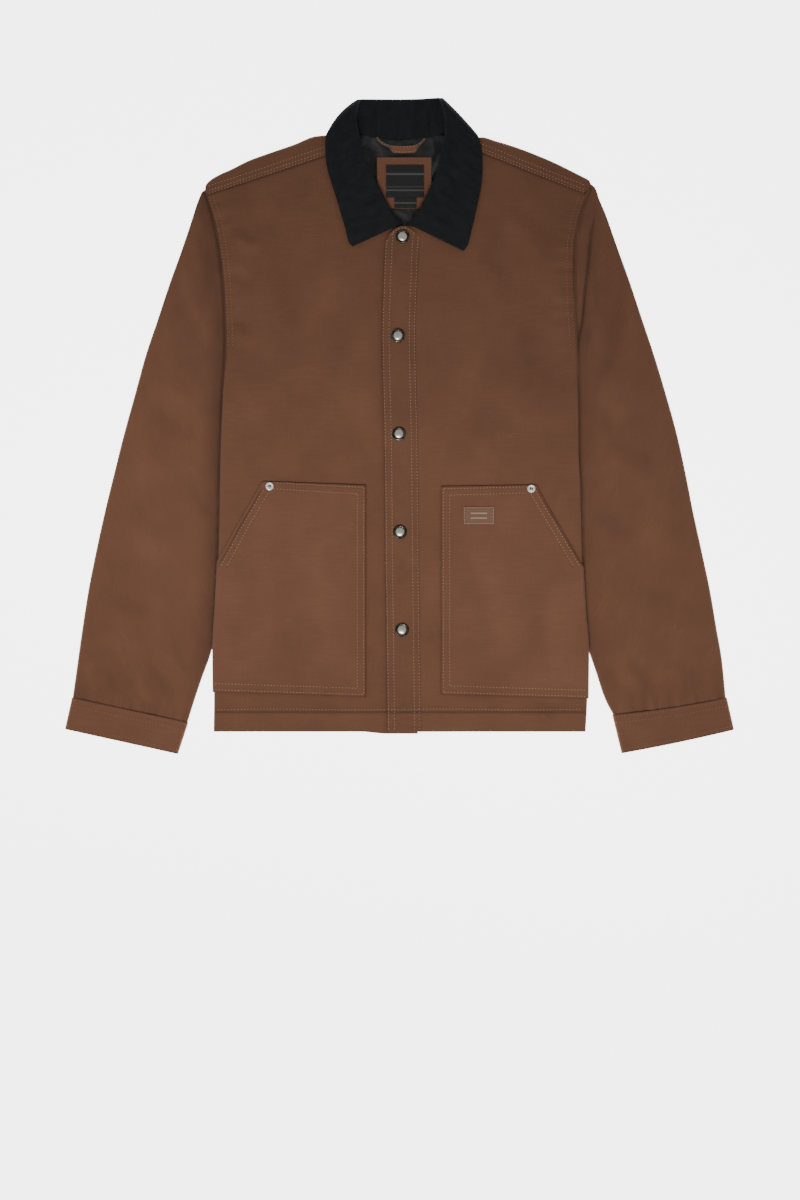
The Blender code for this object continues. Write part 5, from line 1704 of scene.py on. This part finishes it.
# %% Lining
TRIM = 1.0  # lining, facing and loop
LINING_LEVEL = FALL_LIFT + WALL + SEAM
FACING_LEVEL = LINING_LEVEL + TRIM + SEAM
FACING_BOX = ((-25.7, 253.3), (38, 313.2))
LINING_ROWS = table(
    SideEdge,
    (213, -10, 22), (237, -17, 29), (257, -27, 36), (275, -36, 43),
    (292, -43, 50), (310, -48, 55), (324, -49.5, 55.5), (332.3, -50.5, 57),
)
LINING_FOLDS = table(
    Fold,
    (-40, 330, -28, 300, 4, -0.8), (-46, 318, -30, 288, 3.5, 0.6), (-34, 336, -20, 316, 3, 0.6),
    (-38, 300, -28, 274, 3.5, -0.8), (-33, 286, -27, 262, 3, 0.5), (-30, 268, -20, 246, 3, -0.6),
    (44, 334, 40, 304, 4, -0.8), (50, 322, 42, 290, 3.5, 0.6), (36, 336, 42, 316, 3, 0.6),
    (46, 300, 40, 268, 3.5, -0.7), (-12, 251, 14, 240, 3, 0.7), (-16, 246, 6, 230, 3, -0.8),
    (2, 236, 16, 226, 3, 0.6), (16, 251, 26, 240, 3, -0.7), (-30, 331, 34, 333, 3, -0.5),
    (-16, 316, 24, 317.5, 2.2, -0.6), (-4, 330, 4, 322, 3, 0.5), (14, 331, 18, 323, 2.5, -0.6),
)
NECK_SEAM = [(-42.1, 339.4), (-33.9, 337.4), (-22.2, 335.7), (2.3, 334.4), (26.9, 335.7)]
NECK_SEAM += [(38.6, 337.1), (46.8, 339.1)]
CREASE = 1.3  # the strength of its creases
AT_SEAM = 0.94  # the share of its rows past which they follow the neck seam


def in_box(box, x, y, soft=5):
    """1 inside a box, down to 0 outside it."""
    (left, low), (right, high) = box
    across = np.minimum(x - left, right - x)
    along = np.minimum(y - low, high - y)
    return ease((np.minimum(across, along) + soft) / soft)


def lining_creases(x, y):
    soft = 0.5 * waves(x, y, size=13, seed=3.7) + 0.25 * waves(x, y, size=6, seed=1.9)
    return CREASE * folded(LINING_FOLDS, x, y) + soft


def lining_face(out):
    """Up to the neck seam. Its creases are mostly hollows, and its under face stays flat."""
    places, rights, lefts = (np.array(column) for column in zip(*LINING_ROWS))
    rise = np.linspace(0, 1, 68)[:, None]
    y = mix(places[0], places[-1], np.minimum(rise / AT_SEAM, 1))
    right, left = smooth(places, rights, y), smooth(places, lefts, y)
    x = mix(right, left, np.linspace(0, 1, 60)[None, :])
    seam = smooth(*zip(*NECK_SEAM), x)
    y = mix(y, seam - 0.1, np.maximum(rise - AT_SEAM, 0) / (1 - AT_SEAM))
    creases = np.clip(lining_creases(x, y), -0.9, 0.4) * (1 - in_box(FACING_BOX, x, y, 2))
    height = creases if out == 0 else out + 0 * creases
    return np.stack([x, y, LINING_LEVEL + TRIM + height], axis=-1)


def lining_painted_shade(x, y):
    """Painted shade in its hollows and where the collar stands round it, and a painted highlight on its
    ridges.
    """
    places, rights, lefts = zip(*LINING_ROWS)
    edge = np.minimum(x - np.interp(y, places, rights), np.interp(y, places, lefts) - x)
    creases = 1.3 * np.clip(lining_creases(x, y), -0.6, 0.9)
    return np.maximum(creases - 0.35 * np.exp(-np.maximum(edge, 0) / 6), -0.8)


lining = panel("lining_cloth_piece", lining_face, TRIM, SATIN, rim=0, painted_shade_and_wear=lining_painted_shade)
tell(lining)

# %% [markdown]
# ## Facing and labels
# A patch of canvas is sewn to the lining, and the label and its tab to the patch. Boxes would do, but
# their edges would be too straight. So each is a thin patch that is gathered a little at its edges.
# The labels carry plain bars.

# %% Facing and labels
LABEL = 0.8
LABEL_LEVEL = FACING_LEVEL + TRIM + SEAM
LABEL_BOX = ((-15.2, 266.1), (29.2, 304.2))
TAB_BOX = ((-5.3, 253.9), (20.5, 265.6))
PATCH_RIM = 0.2


def box_grid(box, rows, columns):
    (left, low), (right, high) = box
    return np.meshgrid(np.linspace(left, right, columns), np.linspace(low, high, rows))


def patch_face(box, top, rows, columns, ripple):
    """A patch in a box, whose edges are gathered a little by their stitches."""
    x, y = box_grid(box, rows, columns)
    (left, low), (right, high) = box
    edge = [(left, low), (right, low), (right, high), (left, high), (left, low)]
    away, _ = line_distance(edge, x, y)
    puff = ripple * (1 - bell(away, 4)) + puckers(edge, x, y, width=4, height=ripple * 0.6)
    return lambda out: np.stack([x, y, top + puff - ripple + out], axis=-1)


def box_uvs(box, rows, columns):
    return np.stack(box_grid(box, rows, columns), axis=-1) - np.array(box[0])


def patch(name, box, level, thickness, material, rows=24, columns=28, ripple=0.2):
    face = patch_face(box, level + thickness, rows, columns, ripple)
    return panel(name, face, thickness, material, box_uvs(box, rows, columns), PATCH_RIM)


facing = patch("facing_canvas", FACING_BOX, FACING_LEVEL, TRIM, CANVAS_FACING)
neck_label = patch("neck_label_weave", LABEL_BOX, LABEL_LEVEL, LABEL, LABEL_WEAVE)
size_tab = patch("size_tab_weave", TAB_BOX, LABEL_LEVEL, LABEL, TAB_WEAVE, 14, 20, 0.15)
tell(facing, neck_label, size_tab)

# %% [markdown]
# ## Hanger loop
# The loop is a folded strip of canvas, wide in the middle and narrow at its ends. A bevelled curve
# would have one width, so the strip follows a line in plan while its width and height change along
# it. Its ends are painted a darker grey: painted shade where they go down into the seam.

# %% Hanger loop
LOOP_LINE = [(-26, 337), (-22.5, 332), (-14.5, 327.3), (-5, 325.3), (4.7, 324.9), (16, 325.4)]
LOOP_LINE += [(25, 329.4), (30.5, 335.5)]
LOOP_STEP = 2.2
LOOP_WIDTH, LOOP_END_WIDTH = 8.5, 3.2
LOOP_BAND = (-8.2, 19.9)  # the wide middle of it
# painted shade for the ends of the loop
LOOP_END_SHADE = (0.105, 0.072, 0.050)


def loop_canvas(name, low, high):
    """Brown between these places across it, in metres, and a painted grey shade at its ends."""
    cloth = Finish(name, 0.8, Sheen_Weight=0.12, Sheen_Roughness=0.5, Specular_IOR_Level=0.3)
    colour, weft_slubs, _ = canvas_colour(cloth, 1.25)
    end_shade = cloth.tint(shaded(LOOP_END_SHADE), weft_slubs * 0.2)
    cloth.bump((weft_slubs, 0.07), (cloth.threads(WARP, 0), 0.08))
    return cloth.done(cloth.blend(cloth.place(0).between(low, high), end_shade, colour))


CANVAS_LOOP = loop_canvas("canvas_loop", LOOP_BAND[0] * MM, LOOP_BAND[1] * MM)


def loop_face(out):
    line = rows_between(LOOP_LINE, LOOP_STEP)
    way = np.gradient(line, axis=0)
    way /= np.linalg.norm(way, axis=1)[:, None]
    across = np.stack([-way[:, 1], way[:, 0]], axis=1)
    share = np.linspace(0, 1, len(line))
    ends = np.minimum(line[:, 0] - LOOP_BAND[0], LOOP_BAND[1] - line[:, 0])
    half = mix(LOOP_END_WIDTH, LOOP_WIDTH, ease((ends + 4) / 6)) / 2
    steps = np.linspace(-1, 1, 9)
    points = line[:, None, :] + across[:, None, :] * (half[:, None] * steps[None, :])[:, :, None]
    points[:, :, 1] -= (half - LOOP_END_WIDTH / 2)[:, None]
    crown = 0.25 * (1 - steps**4)[None, :] + 0.7 * np.sin(math.pi * share)[:, None]
    height = FACING_LEVEL + TRIM + crown - 0.25 + out + 0 * points[:, :, 0]
    return np.concatenate([points, height[:, :, None]], axis=-1)


hanger_loop = panel("hanger_loop_canvas", loop_face, TRIM, CANVAS_LOOP, rim=0.25)
tell(hanger_loop)

# %% [markdown]
# ## The pocket's label
# A small woven label is sewn on the left pocket. It could be a flat box, but the pocket isn't flat,
# so each of its points takes its height from the front, as the pocket's own do.

# %% The pocket's label
POCKET_LABEL_BOX = ((76, -116), (111, -96))
POCKET_LABEL_GRID = (16, 24)  # rows and columns


def pocket_label_face(out):
    x, y = box_grid(POCKET_LABEL_BOX, *POCKET_LABEL_GRID)
    lift = SEAM + PATCH + SEAM + LABEL + out
    return np.stack([x, y, front_height("left", x, y) + lift], axis=-1)


pocket_label = panel(
    "pocket_label_weave",
    pocket_label_face,
    LABEL,
    POCKET_WEAVE,
    box_uvs(POCKET_LABEL_BOX, *POCKET_LABEL_GRID),
    PATCH_RIM,
)
tell(pocket_label)

# %% [markdown]
# ## Snaps and rivets
# A snap's cap is a dome in a bare ring, and a rivet has a dimple. Cylinders with bevels would look
# plain from this close. So half of the section is drawn from its rim to its middle, the Screw
# modifier turns it, and the piece is set square to the cloth under it.

# %% Snaps and rivets
# Each section's points are a radius and a height
SNAP_SECTION = [(8.0, 0), (8.0, 0.9), (7.85, 1.35), (7.5, 1.7), (7.0, 1.88), (6.6, 1.9), (6.2, 1.82)]
SNAP_SECTION += [(5.95, 1.55), (5.75, 1.3), (5.5, 1.25), (5.2, 1.45), (4.9, 1.8), (4.4, 2.15)]
SNAP_SECTION += [(3.6, 2.42), (2.6, 2.65), (1.4, 2.78), (0, 2.82)]
RIVET_SECTION = [(4.7, 0), (4.68, 0.5), (4.5, 0.9), (4.1, 1.2), (3.6, 1.32), (3.1, 1.2), (2.8, 0.9)]
RIVET_SECTION += [(2.6, 0.62), (2.3, 0.5), (1.9, 0.62), (1.5, 0.85), (0.8, 0.96), (0, 1.0)]
SNAP_SIDES, RIVET_SIDES = 56, 40
SNAPS = [(4.1, 219.5), (-1.2, 104.1), (0, -10.5), (1.2, -125.2), (3.5, -239.8)]
RIVETS = {"right": (-151.2, -72.0), "left": (154.6, -74.8)}


def half_section(name, section, material):
    mesh = bpy.data.meshes.new(name)
    points = [(radius * MM, 0, level * MM) for radius, level in section]
    mesh.from_pydata(points, [(k, k + 1) for k in range(len(section) - 1)], [])
    mesh.materials.append(material)
    piece = bpy.data.objects.new(name, mesh)
    bpy.context.collection.objects.link(piece)
    return piece


def turn_round(piece, sides):
    """Turns a half section into a closed piece. Its cloth coordinates hold each point's distance
    from the centre, and its height."""
    screw = piece.modifiers.new("turn", "SCREW")
    screw.steps = screw.render_steps = sides
    screw.use_merge_vertices = True
    screw.merge_threshold = 0.01 * MM
    screw.use_smooth_shade = True
    bpy.ops.object.modifier_apply(modifier=screw.name)
    face_outward(piece)
    layer = piece.data.uv_layers.new(name="cloth")
    for loop in piece.data.loops:
        spot = piece.data.vertices[loop.vertex_index].co
        layer.data[loop.index].uv = (math.hypot(spot.x, spot.y), spot.z)


def turned(node, section, sides, material, slot, place, height):
    bpy.ops.object.select_all(action="DESELECT")
    piece = half_section(f"{node}_metal", section, material)
    bpy.context.view_layer.objects.active = piece
    piece.select_set(True)
    turn_round(piece, sides)
    x, y = place
    reach = section[0][0]
    slope_x = (height(x + reach, y) - height(x - reach, y)) / (2 * reach)
    slope_y = (height(x, y + reach) - height(x, y - reach)) / (2 * reach)
    normal = Vector((-float(slope_x), -float(slope_y), 1)).normalized()
    piece.rotation_euler = Vector((0, 0, 1)).rotation_difference(normal).to_euler()
    piece.location = (Vector((x, y, float(height(x, y)))) + normal * SEAM) * MM
    bpy.ops.object.transform_apply(location=True, rotation=True, scale=True)
    piece.select_set(False)
    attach(piece, "root")
    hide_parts(node)
    tell(piece)


def plain_placket(x, y):
    return topside(x, y) + overlap(x, y) + PLACKET_GAP + BAND


def plain_pocket(x, y):
    return topside(x, y) + np.where(x > 0, overlap(x, y), 0) + SEAM + PATCH


for number, place in enumerate(SNAPS, 1):
    turned(f"snap_{number}", SNAP_SECTION, SNAP_SIDES, ANTIQUE, "antique_metal", place, plain_placket)
for side, place in RIVETS.items():
    turned(f"rivet_{side}", RIVET_SECTION, RIVET_SIDES, BRIGHT, "bright_metal", place, plain_pocket)

# %% [markdown]
# ## A row of stitches
# A stitch is a bit of thread whose ends go down into the cloth. A picture of stitches has no height,
# and a bevelled curve is one long thread. So a plump stitch is made of five rings with five sides,
# and a row of them is dropped onto the real surface by a ray cast, however it is folded.

# %% A row of stitches
PITCH, STITCH = 3.8, 1.5
STITCH_SIDES = 5
# A stitch's rings: the place along it as a share of its length, the radius and the lift
STITCH_RINGS = [(-0.5, 0.2, -0.2), (-0.34, 0.38, 0.02), (0, 0.43, 0.12)]
STITCH_RINGS += [(0.34, 0.38, 0.02), (0.5, 0.2, -0.2)]
STITCH_ANGLES = np.arange(STITCH_SIDES) * 2 * math.pi / STITCH_SIDES + math.pi / 2
RAY_START = 0.1  # in metres, above or below everything
BURY = 0.35  # stitches below are pressed in by what the piece lies on


def row_along(points, pitch=PITCH):
    """Middles and directions of stitches along a line."""
    points = np.array(points, float)
    gaps = np.linalg.norm(np.diff(points, axis=0), axis=1)
    reach = np.concatenate([[0], np.cumsum(gaps)])
    at = np.arange(pitch / 2, reach[-1], pitch)
    columns = points.T
    before, after = (np.stack([np.interp(at + d, reach, c) for c in columns], axis=1) for d in (-1, 1))
    way = after - before
    return (before + after) / 2, way / np.linalg.norm(way, axis=1)[:, None]


def stitch_points(middle, along, normal):
    across = normal.cross(along)
    return [
        middle
        + along * (at * STITCH)
        + normal * (lift + radius * math.sin(angle))
        + across * (radius * math.cos(angle))
        for at, radius, lift in STITCH_RINGS
        for angle in STITCH_ANGLES
    ]


def stitch_faces(first):
    """The sides and the two ends of a stitch whose first point has this number."""
    last = first + (len(STITCH_RINGS) - 1) * STITCH_SIDES
    sides = [
        (a, b, b + STITCH_SIDES, a + STITCH_SIDES)
        for ring in range(first, last, STITCH_SIDES)
        for a, b in ((ring + k, ring + (k + 1) % STITCH_SIDES) for k in range(STITCH_SIDES))
    ]
    ends = [tuple(range(first + STITCH_SIDES - 1, first - 1, -1)), tuple(range(last, last + STITCH_SIDES))]
    return sides + ends


def sew(name, piece, rows, material, below=False):
    """Stitches along rows of (x, y) points, on the piece's upper or lower face."""
    tree = BVHTree.FromObject(piece, bpy.context.evaluated_depsgraph_get())
    facing = 1 if below else -1
    points, faces = [], []
    for row in rows:
        for (x, y), way in zip(*row_along(row)):
            start = Vector((x * MM, y * MM, -facing * RAY_START))
            hit, normal, _, _ = tree.ray_cast(start, Vector((0, 0, facing)))
            if hit is None:
                continue
            along = Vector((*way, 0))
            along = (along - normal * along.dot(normal)).normalized()
            middle = hit / MM - normal * (BURY if below else 0)
            faces += stitch_faces(len(points))
            points += stitch_points(middle, along, normal)
    made = new_piece(name, points, faces, np.zeros((len(points), 2)), material)
    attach(made, "root")
    print(f"{name}: {len(points) // len(STITCH_RINGS) // STITCH_SIDES} stitches")
    return made


print(f"A metre of seam has {1000 / PITCH:.0f} stitches.")

# %% [markdown]
# ## Stitches on the fronts, pockets and cuffs
# Topstitching keeps heavy canvas flat: once at the hem, and in two rows at the armholes, pockets and
# cuffs. The rows could be drawn by hand, but they run beside an edge at a fixed distance, so each is
# worked out from its piece's own outline.

# %% Stitches on the fronts, pockets and cuffs
ARMHOLE_ROW_INSETS = (1.9, 7.6)
CUFF_ROWS = ((0, 3.2), (0, 9.8), (-1, -5.2))  # the ring each row starts from, and how far down
HEM_ENDS = {"right": (-213, -16), "left": (27, 215)}


def hem_row(low, high):
    return [(x, HEM_STITCH + 0.4 * math.sin(x / 31)) for x in np.linspace(low, high, 40)]


def cuff_row(side, ring, distance):
    """A row beside one of the cuff's rings, this far toward its foot."""
    rings = CUFF_RINGS[side]
    top, foot, start = (
        np.array([[rings[k].outer_x, rings[k].outer_y], [rings[k].inner_x, rings[k].inner_y]])
        for k in (0, -1, ring)
    )
    down = (foot - top) / np.linalg.norm(foot - top, axis=1)[:, None]
    share = np.linspace(0.015, 0.985, 20)
    line = mix(start[0] + down[0] * distance, start[1] + down[1] * distance, share[:, None])
    line[:, 1] -= rings[0].bow * bowed(share)
    return line


def sew_canvas(name, piece, rows, material, below=False):
    return sew(f"{name}_stitches", piece, rows, material, below)


for side in SIDES:
    front = fronts[side]
    sew_canvas(f"front_{side}", front, [hem_row(*HEM_ENDS[side])], THREAD)
    rows = [armhole(side, inset) for inset in ARMHOLE_ROW_INSETS]
    sew_canvas(f"armhole_{side}", front, rows, DARK_THREAD)
    rows = [line for inset in POCKET_ROW_INSETS for line in pocket_rim(side, inset).values()]
    sew_canvas(f"pocket_{side}", pockets[side], rows, THREAD)
    rows = [cuff_row(side, ring, distance) for ring, distance in CUFF_ROWS]
    sew_canvas(f"cuff_{side}", cuffs[side], rows, DARK_THREAD)

# %% [markdown]
# ## Stitches on the placket and the back
# The placket has two rows at each side, one round its top and one at the hem. The back is sewn three
# times beside each shoulder seam, and its hem and armholes show their stitches from below. One loop
# for each piece gives the rows, as they differ only in how far in they are.

# %% Stitches on the placket and the back
PLACKET_ROW_INSETS = (2, 8.9, 32.4, 38.6)
SHOULDER_ROW_RISES = (1.8, 5.2, 10.6)
UNDER_ARMHOLE_INSET = 3


def placket_row(inset):
    """A row up the placket, this far in from its left edge, to just below its top."""
    x = PLACKET_TOP_X[0] + inset
    top = (x, float(smooth(*zip(*PLACKET_CURVE), x)) - 2)
    return [*((float(placket_left(y)) + inset, y) for y in np.linspace(-357, 204, 60)), top]


def shoulder_row(side, rise):
    """A row this far above the shoulder seam, and a little longer at both ends."""
    (outer_x, outer_y), (inner_x, inner_y) = SHOULDER_SEAM[side]
    longer = 1.5 * SIGN[side]
    return [(outer_x - longer, outer_y + rise), (inner_x + longer, inner_y + rise)]


placket_rows = [placket_row(inset) for inset in PLACKET_ROW_INSETS]
placket_rows.append([(x, y - 2.2) for x, y in PLACKET_CURVE[2:-1]])
placket_rows.append(hem_row(-14, 25))
sew_canvas("placket", placket, placket_rows, THREAD)
back_rows = [shoulder_row(side, rise) for side in SIDES for rise in SHOULDER_ROW_RISES]
sew_canvas("shoulder", back, back_rows, THREAD)
under_rows = [armhole(side, UNDER_ARMHOLE_INSET) for side in SIDES]
under_rows.insert(0, hem_row(-213, 215))
sew_canvas("back_hem", back, under_rows, THREAD, below=True)

# %% [markdown]
# ## Stitches inside the neck
# The facing is sewn all round, the neck label with black thread, the pocket's label at its two ends,
# and the hanger loop along its strip. The rows could be drawn one by one, but most of them run just
# inside the edge of a box, so two functions give those.

# %% Stitches inside the neck
def upright_rows(box, inset, end=1):
    (left, low), (right, high) = box
    return [[(x, low + end), (x, high - end)] for x in (left + inset, right - inset)]


def level_rows(box, inset, end=1):
    (left, low), (right, high) = box
    return [[(left + end, y), (right - end, y)] for y in (low + inset, high - inset)]


rows = upright_rows(FACING_BOX, 1.6) + level_rows(FACING_BOX, 1.6)
sew_canvas("facing", facing, rows, DARK_THREAD)
rows = level_rows(LABEL_BOX, 1.2)[::-1] + upright_rows(LABEL_BOX, 1.2)
sew("neck_label_stitches", neck_label, rows, BLACK_THREAD)
rows = upright_rows(POCKET_LABEL_BOX, 1.2)
sew("pocket_label_stitches", pocket_label, rows, BLACK_THREAD)
loop_middle = rows_between(LOOP_LINE, LOOP_STEP)
wide = [(x, y) for x, y in loop_middle if LOOP_BAND[0] + 2 < x < LOOP_BAND[1] - 2]
rows = [[(x, y + 0.4) for x, y in loop_middle[2:-2]], [(x, y - 5.6) for x, y in wide]]
sew_canvas("hanger_loop", hanger_loop, rows, THREAD)

# %% [markdown]
# ## Putting the pieces in place
# Each piece was cut from flat cloth. Here each takes its node's place, and the CAD's part is hidden.

# %% Putting the pieces in place
Cut = namedtuple("Cut", "width length area")


def dress(piece, node):
    """Puts a cloth piece in its node's place and hides the CAD's part."""
    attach(piece, "root")
    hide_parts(node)


dress(back, "back")
for side, lies_on in (("right", [back]), ("left", [back, fronts["right"]])):
    dress(fronts[side], f"front_{side}")
for side in SIDES:
    dress(pockets[side], f"pocket_{side}")
    dress(sleeves[side], f"sleeve_{side}")
    dress(cuffs[side], f"cuff_{side}")
dress(placket, "placket")
dress(collar, "collar")
dress(lining, "lining")
dress(facing, "neck_facing")
dress(neck_label, "neck_label")
dress(size_tab, "size_tab")
dress(hanger_loop, "hanger_loop")
dress(pocket_label, "pocket_label")

# %% [markdown]
# ## Sizes, and the end
# The finished jacket should be as large as the CAD's walls.
